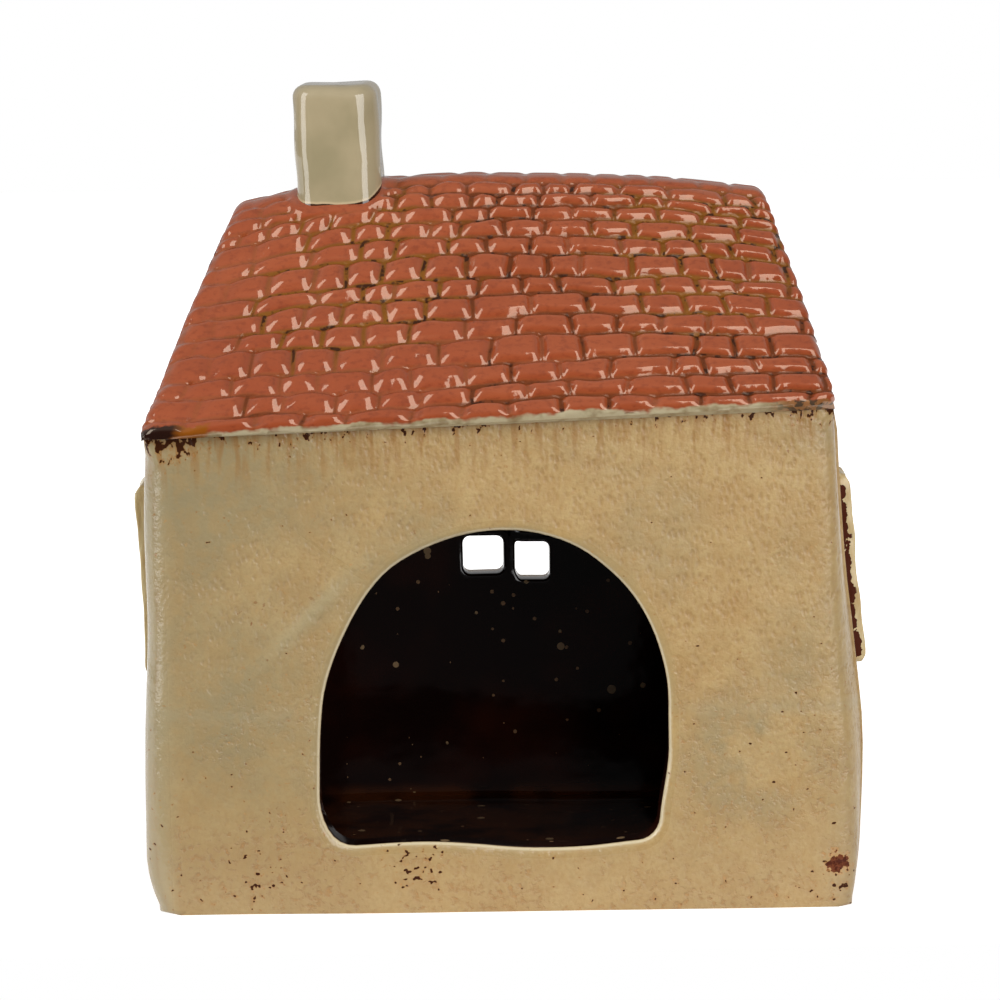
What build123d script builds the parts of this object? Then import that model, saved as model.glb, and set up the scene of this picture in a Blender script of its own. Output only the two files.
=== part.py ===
from build123d import *
import math
import os

# A glazed stoneware tealight house, built from clay slabs that are luted together.
# Millimetres, +Z up. The origin is on the table, under the middle of the house.
# The arched mouth for the tealight is in the wall on -Y. The door is on +Y.

# Body, measured outside
house_width = 145.0
house_depth = 85.0
wall_thickness = 6.5
floor_thickness = 6.5
end_batter = 3.2
shoulder_height = 100.0
corner_radius_left = 5.0
corner_radius_right = 3.0

# Roof. Both eaves climb from the left gable, below the shoulder, to the right one, above it.
roof_thickness = 4.2
roof_rise = 47.0
eave_drop_left = 2.0
eave_climb_right = 3.5
ridge_radius = 14.0
gable_lean_left = 17.8
gable_lean_right = 13.8
eave_overhang = 1.5
verge_overhang = 0.8

# Tiles pressed into the roof
tile_courses = 13
tiles_in_course = 14
groove_width = 0.9
groove_depth = 0.6

# Arched mouth
arch_width = 71.0
arch_offset = -1.2
arch_sill = 14.6
arch_crown = 78.4
arch_corner = 4.5
arch_lip = 2.0

# Pierced windows, two panes by two
pane_width = 9.0
pane_height = 8.2
pane_bar = 2.6
pane_corner = 1.8
door_window_offset = 2.8
door_window_sill = 56.2
end_window_sill = 55.0

# Shutters beside each window
shutter_width = 13.0
shutter_height = 42.0
shutter_thickness = 3.4
shutter_sill = 44.0
shutter_reveal = 2.5
shutter_rounding = 0.8
door_shutter_drop = 2.5

# Door
door_width = 24.0
door_height = 44.0
door_thickness = 2.6
door_sill = 3.0
door_rounding = 0.7
plank_count = 4
knob_radius = 1.7
knob_length = 2.4
knob_inset = 4.0

# Chimney
chimney_width = 17.0
chimney_depth = 16.0
chimney_rise = 19.0
chimney_offset = -31.3
chimney_forward = 2.2
chimney_turn = -9.0
chimney_rounding = 2.6

# Sizes that follow from the ones above
half_width = house_width / 2
half_depth = house_depth / 2
eave_left = shoulder_height - eave_drop_left
eave_right = shoulder_height + eave_climb_right
ridge_height = shoulder_height + roof_rise
chimney_top = ridge_height + chimney_rise
shoulder_half_width = half_width - end_batter
ridge_left = gable_lean_left - shoulder_half_width
ridge_right = shoulder_half_width - gable_lean_right
ridge_centre = ridge_height - ridge_radius
underside_radius = ridge_radius - roof_thickness
batter_angle = math.degrees(math.atan2(end_batter, shoulder_height))
spare = 10.0

os.makedirs("parts", exist_ok=True)


def slope_of(eave_height):
    """Pitch of a roof slope in radians, and its straight length down to the wall's top edge."""
    rise = ridge_centre - eave_height
    reach = math.hypot(half_depth, rise)
    pitch = math.atan2(rise, half_depth) + math.asin(underside_radius / reach)
    return pitch, math.sqrt(reach**2 - underside_radius**2)


def section_point(x, side, pitch, radius, down):
    """A point of the roof's cross section: where the ridge round ends, then down the slope."""
    y = side * (radius * math.sin(pitch) + down * math.cos(pitch))
    z = ridge_centre + radius * math.cos(pitch) - down * math.sin(pitch)
    return Vector(x, y, z)


def roof_curve(x, eave_height, radius):
    """The two slopes and the round between them, from the arch side to the door side."""
    pitch, length = slope_of(eave_height)
    arch_low = section_point(x, -1, pitch, radius, length + eave_overhang)
    arch_high = section_point(x, -1, pitch, radius, 0)
    door_high = section_point(x, 1, pitch, radius, 0)
    door_low = section_point(x, 1, pitch, radius, length + eave_overhang)
    top = Vector(x, 0, ridge_centre + radius)
    return [Line(arch_low, arch_high), ThreePointArc(arch_high, top, door_high), Line(door_high, door_low)]


def closed_face(lower, upper):
    """The face between two open runs of edges that go the same way."""
    start = Line(upper[0] @ 0, lower[0] @ 0)
    end = Line(lower[-1] @ 1, upper[-1] @ 1)
    return make_face([*lower, end, *upper, start])


def roof_section(x, eave_height):
    """The roof slab's cross section at one end."""
    underside = roof_curve(x, eave_height, underside_radius)
    top = roof_curve(x, eave_height, ridge_radius)
    return closed_face(underside, top)


def room_section(x, eave_height):
    """Everything under the roof slab at one end, down to the table."""
    upper = roof_curve(x, eave_height, underside_radius)
    first = upper[0] @ 0
    last = upper[-1] @ 1
    table = [Line((x, first.Y, 0), (x, last.Y, 0))]
    return closed_face(table, upper)


def tile_point(across, down):
    """A point of the arch slope's top face, each way from 0 to 1, from the left end and the ridge."""
    ends = []
    for x, eave_height in ((-half_width, eave_left), (half_width, eave_right)):
        pitch, length = slope_of(eave_height)
        round_length = ridge_radius * pitch
        way = down * (round_length + length + eave_overhang)
        if way < round_length:
            ends.append(section_point(x, -1, way / ridge_radius, ridge_radius, 0))
        else:
            ends.append(section_point(x, -1, pitch, ridge_radius, way - round_length))
    return ends[0] + (ends[1] - ends[0]) * across


def groove_bar(first, last, outward):
    """A thin bar along a groove of the tiles, half of it above the roof's face."""
    along = last - first
    square = along.cross(outward.cross(along)).normalized()
    plane = Plane(origin=first + along * 0.5, x_dir=along, z_dir=square)
    return plane * Box(along.length, groove_width, 2 * groove_depth)


def tile_grooves():
    """Every groove between the tiles of the arch slope: under each course, then the joints in it."""
    bars = []
    for course in range(tile_courses):
        high = course / tile_courses
        low = (course + 1) / tile_courses
        fall = tile_point(0.5, low) - tile_point(0.5, high)
        outward = fall.cross(Vector(-1, 0, 0))
        if course + 1 < tile_courses:
            bars.append(groove_bar(tile_point(0, low), tile_point(1, low), outward))
        middle = tile_point(0.5, (low + high) / 2)
        climb = (middle.Z - shoulder_height) / (ridge_height - shoulder_height)
        first = gable_lean_left * climb - shoulder_half_width
        last = shoulder_half_width - gable_lean_right * climb
        tile_width = (last - first) / tiles_in_course
        shift = 0.5 * (course % 2)
        for joint in range(1, tiles_in_course):
            across = 0.5 + (first + (joint - shift) * tile_width) / house_width
            bars.append(groove_bar(tile_point(across, high), tile_point(across, low), outward))
    return bars


def house_outline(y):
    """The house's outline, seen from the arch side, on a plane across Y."""
    points = [
        (-half_width, y, 0),
        (half_width, y, 0),
        (shoulder_half_width, y, shoulder_height),
        (ridge_right, y, ridge_height),
        (ridge_left, y, ridge_height),
        (-shoulder_half_width, y, shoulder_height),
    ]
    return make_face(Polyline(*points, close=True))


def upright_corners(slab, y, side):
    """The slab's steep outside edges on the plane across Y, at one end of the house."""
    corners = []
    for edge in slab.edges():
        on_face = abs(edge.center().Y - y) < 0.01
        steep = abs(edge.tangent_at(0.5).X) < 0.5
        if on_face and steep and edge.center().X * side > half_width / 2:
            corners.append(edge)
    return corners


def long_wall(outer, inner):
    """A wall slab along X, with its upright outside corners rounded, cut off under the roof."""
    slab = extrude(house_outline(outer), amount=wall_thickness, dir=(0, inner - outer, 0))
    slab = fillet(upright_corners(slab, outer, -1), corner_radius_left)
    slab = fillet(upright_corners(slab, outer, 1), corner_radius_right)
    return slab & room


def end_wall(side):
    """A gable wall slab between the long walls, bent inwards at the shoulder."""
    ridge_end = ridge_right if side > 0 else -ridge_left
    outer = [(half_width, 0), (shoulder_half_width, shoulder_height), (ridge_end, ridge_height)]
    inner = [(x - wall_thickness, z) for x, z in reversed(outer)]
    reach = half_depth - wall_thickness
    points = [(side * x, -reach, z) for x, z in outer + inner]
    slab = extrude(make_face(Polyline(*points, close=True)), amount=2 * reach, dir=(0, 1, 0))
    return slab & room


def end_face(side, z):
    """The working plane on a gable wall's outside face: x along the wall, y up it, z out of it."""
    x = side * (half_width - end_batter * z / shoulder_height)
    lean = math.radians(batter_angle)
    outward = (side * math.cos(lean), 0, math.sin(lean))
    return Plane(origin=(x, 0, z), x_dir=(0, side, 0), z_dir=outward)


def door_face(x, z):
    """The working plane on the door wall's outside face."""
    return Plane(origin=(x, half_depth, z), x_dir=(-1, 0, 0), z_dir=(0, 1, 0))


def window_panes(plane):
    """The four holes of a window whose sill is at the plane's origin."""
    reach = (pane_width + pane_bar) / 2
    rise = pane_height / 2
    holes = []
    for across in (-reach, reach):
        for up in (rise, rise + pane_height + pane_bar):
            pane = RectangleRounded(pane_width, pane_height, pane_corner)
            holes.append(extrude(plane * Pos(across, up) * pane, amount=2 * wall_thickness, both=True))
    return holes


def shutter(plane, across, up):
    """A flat clay shutter laid on a wall, with its outside edges softened."""
    board = Box(shutter_width, shutter_height, shutter_thickness)
    board = plane * Pos(across, up, shutter_thickness / 2) * board
    face = board.faces().sort_by(Axis(plane.origin, plane.z_dir))[-1]
    return fillet(face.edges(), shutter_rounding)


# Roof: one shell over the whole house, cut at its leaning ends and at the ridge.
# The two slopes mirror each other.
roof_ends = [roof_section(-half_width, eave_left), roof_section(half_width, eave_right)]
roof_shell = loft(roof_ends, ruled=True)
room_ends = [room_section(-half_width, eave_left), room_section(half_width, eave_right)]
room = loft(room_ends, ruled=True)
for side, gable_lean in ((-1, gable_lean_left), (1, gable_lean_right)):
    lean_angle = math.atan2(gable_lean, ridge_height - shoulder_height)
    verge = Plane(
        origin=(side * (shoulder_half_width + verge_overhang), 0, shoulder_height),
        x_dir=(0, side, 0),
        z_dir=(side * math.cos(lean_angle), 0, math.sin(lean_angle)),
    )
    roof_shell = split(roof_shell, bisect_by=verge, keep=Keep.BOTTOM)
roof_arch_slope = split(roof_shell, bisect_by=Plane.XZ, keep=Keep.TOP)
roof_arch_slope = roof_arch_slope - tile_grooves()
roof_door_slope = mirror(roof_arch_slope, about=Plane.XZ)

# Chimney: a solid block turned a little, its foot cut to sit astride the ridge.
chimney_low = ridge_height - ridge_radius - spare
chimney_block = Box(chimney_width, chimney_depth, chimney_top - chimney_low)
soft_edges = chimney_block.edges().filter_by(Axis.Z) + chimney_block.faces().sort_by(Axis.Z)[-1].edges()
chimney_block = fillet(soft_edges, chimney_rounding)
chimney_middle = (chimney_top + chimney_low) / 2
chimney_place = Pos(chimney_offset, -chimney_forward, chimney_middle) * Rot(0, 0, chimney_turn)
chimney = chimney_place * chimney_block - roof_shell - room

# Walls
arch_wall = long_wall(-half_depth, -half_depth + wall_thickness)
door_wall = long_wall(half_depth, half_depth - wall_thickness)
left_wall = end_wall(-1)
right_wall = end_wall(1)

# Arched mouth: a half round on straight sides, with rounded corners at the sill.
arch_radius = arch_width / 2
arch_spring = arch_crown - arch_radius
arch_left = arch_offset - arch_radius
arch_right = arch_offset + arch_radius
corner_height = arch_sill + arch_corner
mouth_edges = [
    Line((arch_left, arch_spring), (arch_left, corner_height)),
    RadiusArc((arch_left, corner_height), (arch_left + arch_corner, arch_sill), -arch_corner),
    Line((arch_left + arch_corner, arch_sill), (arch_right - arch_corner, arch_sill)),
    RadiusArc((arch_right - arch_corner, arch_sill), (arch_right, corner_height), -arch_corner),
    Line((arch_right, corner_height), (arch_right, arch_spring)),
    ThreePointArc((arch_right, arch_spring), (arch_offset, arch_crown), (arch_left, arch_spring)),
]
mouth = extrude(Plane.XZ * make_face(mouth_edges), amount=2 * wall_thickness, both=True)
mouth = Pos(0, -half_depth, 0) * mouth
arch_wall = arch_wall - mouth
rim = []
for edge in arch_wall.edges():
    span = edge.bounding_box()
    across_mouth = arch_left - 0.01 < span.min.X and span.max.X < arch_right + 0.01
    up_mouth = arch_sill - 0.01 < span.min.Z and span.max.Z < arch_crown + 0.01
    if across_mouth and up_mouth and span.size.Y < 0.01:
        rim.append(edge)
arch_wall = fillet(rim, arch_lip)

# Windows
door_window = door_face(door_window_offset, door_window_sill)
for hole in window_panes(door_window):
    door_wall = door_wall - hole
left_window = end_face(-1, end_window_sill)
for hole in window_panes(left_window):
    left_wall = left_wall - hole
right_window = end_face(1, end_window_sill)
for hole in window_panes(right_window):
    right_wall = right_wall - hole

# Floor, let in between the four walls
floor_low = half_width - wall_thickness
floor_high = floor_low - end_batter * floor_thickness / shoulder_height
floor_reach = half_depth - wall_thickness
floor_outline = Polyline(
    (-floor_low, -floor_reach, 0),
    (floor_low, -floor_reach, 0),
    (floor_high, -floor_reach, floor_thickness),
    (-floor_high, -floor_reach, floor_thickness),
    close=True,
)
floor_slab = extrude(make_face(floor_outline), amount=2 * floor_reach, dir=(0, 1, 0))

# Shutters, a pair beside each window
shutter_across = pane_width + pane_bar / 2 + shutter_reveal + shutter_width / 2
shutter_up = shutter_sill + shutter_height / 2
left_arch_shutter = shutter(end_face(-1, shutter_up), shutter_across, 0)
left_door_shutter = shutter(end_face(-1, shutter_up), -shutter_across, 0)
right_arch_shutter = shutter(end_face(1, shutter_up), -shutter_across, 0)
right_door_shutter = shutter(end_face(1, shutter_up), shutter_across, 0)
front_shutter_up = shutter_up + door_shutter_drop
front_left_shutter = shutter(door_face(door_window_offset, front_shutter_up), shutter_across, 0)
front_right_shutter = shutter(door_face(door_window_offset, front_shutter_up), -shutter_across, 0)

# Door with a round top, scored into planks, and its knob
door_plane = door_face(door_window_offset, door_sill)
door_radius = door_width / 2
door_outline = Pos(0, (door_height - door_radius) / 2) * Rectangle(door_width, door_height - door_radius)
door_outline = door_outline + Pos(0, door_height - door_radius) * Circle(door_radius)
door = extrude(door_plane * door_outline, amount=door_thickness)
door = fillet(door.faces().sort_by(Axis.Y)[-1].edges(), door_rounding)
plank_width = door_width / plank_count
for seam in range(1, plank_count):
    across = -door_radius + seam * plank_width
    score = Box(groove_width, 2 * door_height, 2 * groove_depth)
    door = door - door_plane * Pos(across, 0, door_thickness) * score
knob_plane = door_plane * Pos(knob_inset - door_radius + plank_width / 2, door_height * 0.42, door_thickness)
door_knob = knob_plane * Pos(0, 0, knob_length / 2) * Cylinder(knob_radius, knob_length)
door_knob = fillet(door_knob.faces().sort_by(Axis.Y)[-1].edges(), knob_radius * 0.6)

pieces = {
    "floor_slab": floor_slab,
    "arch_wall": arch_wall,
    "door_wall": door_wall,
    "left_gable_wall": left_wall,
    "right_gable_wall": right_wall,
    "roof_arch_slope": roof_arch_slope,
    "roof_door_slope": roof_door_slope,
    "chimney": chimney,
    "left_shutter_arch_side": left_arch_shutter,
    "left_shutter_door_side": left_door_shutter,
    "right_shutter_arch_side": right_arch_shutter,
    "right_shutter_door_side": right_door_shutter,
    "front_shutter_left": front_left_shutter,
    "front_shutter_right": front_right_shutter,
    "front_door": door,
    "door_knob": door_knob,
}
for name, piece in pieces.items():
    export_step(piece, f"parts/{name}.step")
    print(name, round(piece.volume / 1000, 2), "cm3")
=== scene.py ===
# %% [markdown]
# # A glazed tealight house
# The real house is hand-built from rolled slabs of stoneware: two long walls, two gables, a floor and a
# roof with tiles pressed into it. It is dipped and brushed with three glazes and fired. This lesson loads
# the measured model, makes every slab again with the softness that hands and glaze give it, and then
# glazes and lights it and sets a camera before it.

# %% Load the measured house
import bpy, bmesh, math, random
from bisect import bisect_right
from mathutils import Matrix, Vector, kdtree, noise


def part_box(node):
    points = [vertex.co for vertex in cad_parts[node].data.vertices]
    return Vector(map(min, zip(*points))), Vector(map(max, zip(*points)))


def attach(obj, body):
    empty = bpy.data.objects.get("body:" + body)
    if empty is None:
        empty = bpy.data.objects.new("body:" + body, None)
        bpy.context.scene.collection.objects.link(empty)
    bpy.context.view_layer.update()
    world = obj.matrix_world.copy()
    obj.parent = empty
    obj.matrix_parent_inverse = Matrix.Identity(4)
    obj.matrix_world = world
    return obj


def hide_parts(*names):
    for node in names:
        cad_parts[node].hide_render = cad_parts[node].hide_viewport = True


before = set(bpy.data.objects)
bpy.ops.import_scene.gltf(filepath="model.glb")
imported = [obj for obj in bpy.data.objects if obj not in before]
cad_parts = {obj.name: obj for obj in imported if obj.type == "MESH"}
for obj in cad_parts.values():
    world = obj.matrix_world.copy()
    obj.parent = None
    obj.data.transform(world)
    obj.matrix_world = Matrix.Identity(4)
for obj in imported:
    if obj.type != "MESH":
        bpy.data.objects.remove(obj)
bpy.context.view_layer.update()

# %% [markdown]
# ## The house's sizes
# Everything is in metres, because the measured model is. The sizes are those of the measured slabs, so each
# new piece lands where the old one was. The roof's eave climbs from left to right, as it does on the real
# house, where no two corners are the same height.

# %% Sizes of the house
mm = 0.001
half_width, half_depth = 72.5 * mm, 42.5 * mm
wall = 6.5 * mm
shoulder, batter, roof_rise = 100 * mm, 3.2 * mm, 47 * mm
gable_lean = {-1: 17.8 * mm, 1: 13.8 * mm}
eave_left, eave_right = 98 * mm, 103.5 * mm
ridge, ridge_radius, roof_thickness, overhang = 147 * mm, 14 * mm, 4.2 * mm, 1.5 * mm
ridge_centre = ridge - ridge_radius


def swell_above(z, side):
    """How far an end swells out between the shoulder and the ridge."""
    climb = min(1, max(0, (z - shoulder) / roof_rise))
    return (2.0 if side < 0 else 1.0) * mm * math.sin(math.pi * 0.85 * climb)


def end_at(z, side):
    """How far an end wall's outside face is from the middle at height z: it leans in, and more so above."""
    if z < shoulder:
        return half_width - batter * z / shoulder
    return half_width - batter - gable_lean[side] * (z - shoulder) / roof_rise + swell_above(z, side)


def eave_at(x):
    """Height of the walls' top edge under the eave."""
    return eave_left + (eave_right - eave_left) * (x + half_width) / (2 * half_width)


print("half width at the table and at the eave:", end_at(0, 1), round(end_at(shoulder, 1), 4))

# %% [markdown]
# ## The touch of the hand
# A slab that was rolled and pressed by hand is never flat. One soft field of noise in space moves every
# piece: where two pieces touch they are moved by the same amount, so the joints stay closed. It fades
# towards the table, because the house stands flat. The same field lets the two ends of the ridge sink, more
# so on the left, lets the right gable belly out, and rounds the lower corners of the house, which were
# patted on the table.

# %% A soft wobble for every piece
def smooth(low, high, value):
    """0 below low, 1 above high and a soft step between."""
    s = min(1, max(0, (value - low) / (high - low)))
    return s * s * (3 - 2 * s)


foot_height, foot_inward = 14 * mm, {-1: 3.4 * mm, 1: 1.5 * mm}


drift_from = (Vector((9.3, -1.5, -7.9)), Vector((0.4, 0.1, 0.6)), Vector((6.3, 0.2, -2.7)))


def drift(place):
    """A soft random direction: the same noise read at three fixed distances from a place."""
    return Vector([noise.noise(place + away) for away in drift_from])


def by_hand(point):
    slow = drift(point * 24)
    quick = drift(point * 75 + Vector((3.1, 7.7, 5.3)))
    shift = slow * (0.62 * mm) + quick * (0.17 * mm)
    sunk = (1.9 if point.x < 0 else 1.15) * mm * (point.x / (30 * mm)) ** 2 - 0.4 * mm
    shift.z -= sunk * smooth(98 * mm, ridge, point.z) * (1 - smooth(150 * mm, 163 * mm, point.z))
    shift.z *= min(1, point.z / (12 * mm))
    belly = math.exp(-(((point.z - 42 * mm) / (29 * mm)) ** 2)) * smooth(-42 * mm, -35 * mm, point.y)
    shift.x += 2.3 * mm * belly * smooth(60 * mm, 68 * mm, point.x)
    shift.x += 0.72 * mm * smooth(52 * mm, 34 * mm, point.z) * smooth(52 * mm, 68 * mm, point.x)
    left_out = (0.25 + 0.75 * smooth(12 * mm, 50 * mm, point.z)) * (1 - smooth(98 * mm, 112 * mm, point.z))
    left_out -= 0.9 * math.exp(-(((point.z - 58 * mm) / (17 * mm)) ** 2))
    shift.x -= 0.9 * mm * left_out * smooth(-52 * mm, -68 * mm, point.x)
    side = 1 if point.x > 0 else -1
    near_table = max(0, 1 - max(mm, point.z) / foot_height)
    inward = foot_inward[side] * near_table ** 2.2
    shift.x -= side * inward * smooth(half_width - 26 * mm, half_width, abs(point.x))
    return point + shift


def finish_piece(shape, node, crisp=50):
    """Turns a bmesh into a piece that stands for a measured slab and rides with the house.

    Edges that turn by more than crisp degrees stay crisp; the others are shaded round."""
    bmesh.ops.recalc_face_normals(shape, faces=shape.faces)
    mesh = bpy.data.meshes.new(node + "_glazed")
    shape.to_mesh(mesh)
    shape.free()
    mesh.shade_smooth()
    mesh.set_sharp_from_angle(angle=math.radians(crisp))
    piece = bpy.data.objects.new(node + "_glazed", mesh)
    bpy.context.scene.collection.objects.link(piece)
    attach(piece, "root")
    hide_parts(node)
    print(node, "has", len(mesh.polygons), "faces")
    return piece


print("the wobble at the shoulder:", [round(v / mm, 2) for v in by_hand(Vector((0, 0, shoulder)))])

# %% [markdown]
# ## The wall with the arched mouth
# The mouth is an arch on short straight sides. A rectangle whose upper corners are bevelled until they meet
# is just that, so the arch starts as four points. The wall's outline is a second loop with as many edges,
# and bridging the two loops gives clean strips that run from the mouth to the edge of the wall.

# %% Outline of the arched mouth
mouth_left, mouth_right, sill, crown = -36.7 * mm, 34.3 * mm, 14.6 * mm, 78.4 * mm
arch_radius = (mouth_right - mouth_left) / 2


def subdivide_into(shape, edge, pieces):
    """Cuts one edge into equal pieces."""
    bmesh.ops.subdivide_edges(shape, edges=[edge], cuts=pieces - 1)


def lies_along(edge, axis):
    """Whether an edge runs along one axis, 0 for x, 1 for y and 2 for z."""
    run = edge.verts[0].co - edge.verts[1].co
    return abs(run[axis]) > 0.9 * run.length


arch = bmesh.new()
corner_points = ((mouth_left, sill), (mouth_right, sill), (mouth_right, crown), (mouth_left, crown))
arch.faces.new([arch.verts.new((x, -half_depth, z)) for x, z in corner_points])
for height, side, rounding, steps in ((crown, 0, arch_radius * 0.9999, 24), (sill, -1, 6.5 * mm, 6), (sill, 1, 4.4 * mm, 6)):
    corners = [v for v in arch.verts if abs(v.co.z - height) < mm and v.co.x * side >= 0]
    bmesh.ops.bevel(arch, geom=corners, offset=rounding, segments=steps, profile=0.5, affect="VERTICES",
                    material=-1, clamp_overlap=False)
bmesh.ops.remove_doubles(arch, verts=arch.verts, dist=0.02 * mm)
for edge in list(arch.edges):
    if edge.calc_length() > 12 * mm:
        subdivide_into(arch, edge, 24 if lies_along(edge, 0) else 12)
print("edges round the mouth:", len(arch.edges))

# %% [markdown]
# The mouth was cut with a knife by eye, so it isn't a true arch: its left side leans in, its crown sits to
# the right, and the sill waves. A few soft pushes on the loop's points give that, before the wall grows
# round it.

# %% Cut the mouth
for vert in arch.verts:
    x, z = vert.co.x / mm, vert.co.z / mm
    height_in_mouth = smooth(15, 22, z)
    if x < -1.2:
        push = 2.9 * math.exp(-(((z - 59) / 17) ** 2)) + 0.9 * smooth(24, 17, z) * smooth(-20, -34, x)
    else:
        push = 1.5 * smooth(50, 76, z) - 2.0 * smooth(34, 17, z) * smooth(15, 32, x)
    push += 1.2 * smooth(70, 78, z)
    wave = -0.35 + 0.6 * math.sin(2 * math.pi * (x + 28.5) / 54)
    vert.co += Vector((push * mm, 0, wave * (1 - height_in_mouth) * mm))
mouth_rim = kdtree.KDTree(8 * len(arch.edges))
for edge in arch.edges:
    for step in range(8):
        mouth_rim.insert(edge.verts[0].co.lerp(edge.verts[1].co, step / 8), 0)
mouth_rim.balance()
print("mouth from", [round(min(v.co.x for v in arch.verts) / mm, 1), round(max(v.co.x for v in arch.verts) / mm, 1)])

# %% Outline of the wall, bridged to the mouth
bmesh.ops.delete(arch, geom=arch.faces[:], context="FACES_ONLY")
mouth_edges = arch.edges[:]
wall_corners = []
for x_side, z in ((-1, 0), (1, 0), (1, eave_right), (-1, eave_left)):
    wall_corners.append(arch.verts.new((x_side * end_at(z, x_side), -half_depth, z)))
outline = [arch.edges.new((wall_corners[i], wall_corners[(i + 1) % 4])) for i in range(4)]
for edge, pieces in zip(outline, (30, 27, 24, 27)):
    subdivide_into(arch, edge, pieces)
outline_edges = [edge for edge in arch.edges if edge not in mouth_edges]
bmesh.ops.bridge_loops(arch, edges=mouth_edges + outline_edges)
print("strips from the mouth to the edge:", len(arch.faces))

# %% [markdown]
# The flat wall is extruded to its thickness, and its inner top edge is lifted to meet the slope of the roof.
# The bevels come next, while the strips are still long: a wide one for the upright corners, which are round
# on the real house, and a soft lip for the mouth. Only then are the strips cut into short faces, so that
# the wobble has something to move.

# %% Thickness and soft edges
def pitch_at(x):
    """The roof's slope over a point along the house, and its straight length down to the wall."""
    rise = ridge_centre - eave_at(x)
    reach = math.hypot(half_depth, rise)
    under = ridge_radius - roof_thickness
    return math.atan2(rise, half_depth) + math.asin(under / reach), math.sqrt(reach * reach - under * under)


def thicken_long_wall(shape, inward):
    """Extrudes a flat long wall by its thickness; inward is +1 or -1 along y. The inner top edge rises."""
    made = bmesh.ops.extrude_face_region(shape, geom=shape.faces[:])
    moved = [v for v in made["geom"] if isinstance(v, bmesh.types.BMVert)]
    bmesh.ops.translate(shape, verts=moved, vec=(0, inward * wall, 0))
    for vert in shape.verts:
        if vert.co.z > eave_at(vert.co.x) - 0.5 * mm:
            vert.co.z += 0.8 * mm
    for vert in moved:
        if vert.co.z > eave_at(vert.co.x) - 0.5 * mm:
            vert.co.z += wall * math.tan(pitch_at(vert.co.x)[0])
    for vert in shape.verts:
        side = 1 if vert.co.x > 0 else -1
        vert.co.x = side * min(abs(vert.co.x), end_at(vert.co.z, side))
    bmesh.ops.recalc_face_normals(shape, faces=shape.faces)


def bevel(shape, edges, width, steps):
    bmesh.ops.bevel(shape, geom=edges, offset=width, segments=steps, profile=0.5, affect="EDGES", material=-1,
                    clamp_overlap=True)


def on_plane(edge, axis, value):
    return all(abs(v.co[axis] - value) < 0.02 * mm for v in edge.verts)


def slice_at(shape, axis, value):
    square = Vector((0, 0, 0))
    square[axis] = 1
    everything = shape.verts[:] + shape.edges[:] + shape.faces[:]
    bmesh.ops.bisect_plane(shape, geom=everything, dist=0.01 * mm, plane_co=square * value, plane_no=square)


foot_rows = [height * mm for height in (1.2, 2.6, 4.2, 6.0, 8.0, 10.4)]


thicken_long_wall(arch, 1)
front_edges = [e for e in arch.edges if on_plane(e, 1, -half_depth) and e.is_manifold
               and any(abs(f.normal.y) < 0.5 for f in e.link_faces)]


def at_end(edge, side):
    return all(v.co.x * side > end_at(v.co.z, side) - 10 * mm and v.co.z < eave_at(v.co.x) for v in edge.verts)


left_edges = [e for e in front_edges if at_end(e, -1) and e.verts[0].co.z + e.verts[1].co.z > 0.4 * mm]
right_edges = [e for e in front_edges if at_end(e, 1) and e.verts[0].co.z + e.verts[1].co.z > 0.4 * mm]
lip_edges = [e for e in front_edges if all(abs(v.co.x) < 45 * mm and sill - mm < v.co.z < crown + mm for v in e.verts)]
print("edges to soften:", len(left_edges), len(right_edges), len(lip_edges))
bevel(arch, lip_edges, 1.5 * mm, 6)
left_edges = [e for e in left_edges if e.is_valid]
bevel(arch, left_edges, 5.4 * mm, 5)
right_edges = [e for e in right_edges if e.is_valid]
bevel(arch, right_edges, 3.0 * mm, 4)
long_edges = [e for e in arch.edges if e.calc_length() > 9 * mm and abs(e.verts[0].co.y - e.verts[1].co.y) < mm]
bmesh.ops.subdivide_edges(arch, edges=long_edges, cuts=13, use_grid_fill=True)
flat_edges = [e for e in arch.edges if all(abs(f.normal.y) > 0.999 for f in e.link_faces)]
bmesh.ops.subdivide_edges(arch, edges=flat_edges, cuts=1, use_grid_fill=True)
for height in foot_rows:
    slice_at(arch, 2, height)
print("faces of the arch wall:", len(arch.faces))

# %% [markdown]
# Inside, the house is glazed almost black, and that glaze stops at the lip of the mouth. Each point of a
# wall therefore keeps how deep it lies behind the outside face, and how near it is to the lip, and the
# glaze will read both.

# %% The arch wall's marks for the glaze
def mark(shape, name, rule):
    """Keeps a number for every point under a name that a material can read."""
    layer = shape.verts.layers.float.new(name)
    for vert in shape.verts:
        vert[layer] = rule(vert.co)


def mouth_gap(point):
    """How far a point lies from the mouth's edge, seen from the front, in millimetres."""
    return mouth_rim.find(Vector((point.x, -half_depth, point.z)))[2] / mm


def lip_line(point):
    """1 on the edge of the mouth, just before it turns inwards, where the glaze is thin and pale."""
    deep = (point.y + half_depth) / mm
    return smooth(0.15, 0.4, deep) * (1 - smooth(0.7, 1.1, deep)) * (1 - smooth(2, 3, mouth_gap(point)))


def within_ends(point):
    """1 in the middle of the house and 0 at the outside of its end walls."""
    return smooth(1.5 * mm, 4 * mm, end_at(point.z, 1 if point.x > 0 else -1) - abs(point.x))


def below_long_roof(point):
    return (eave_at(point.x) - point.z) / mm


mark(arch, "inside", lambda p: smooth(0.7, 1.2, (p.y + half_depth) / mm) * within_ends(p))
mark(arch, "lip", lip_line)
mark(arch, "halo", lambda p: 1 - smooth(1.0, 3.4, mouth_gap(p)))
mark(arch, "below_roof", below_long_roof)
for vert in arch.verts:
    vert.co = by_hand(vert.co)
arch_wall = finish_piece(arch, "arch_wall")

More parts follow.
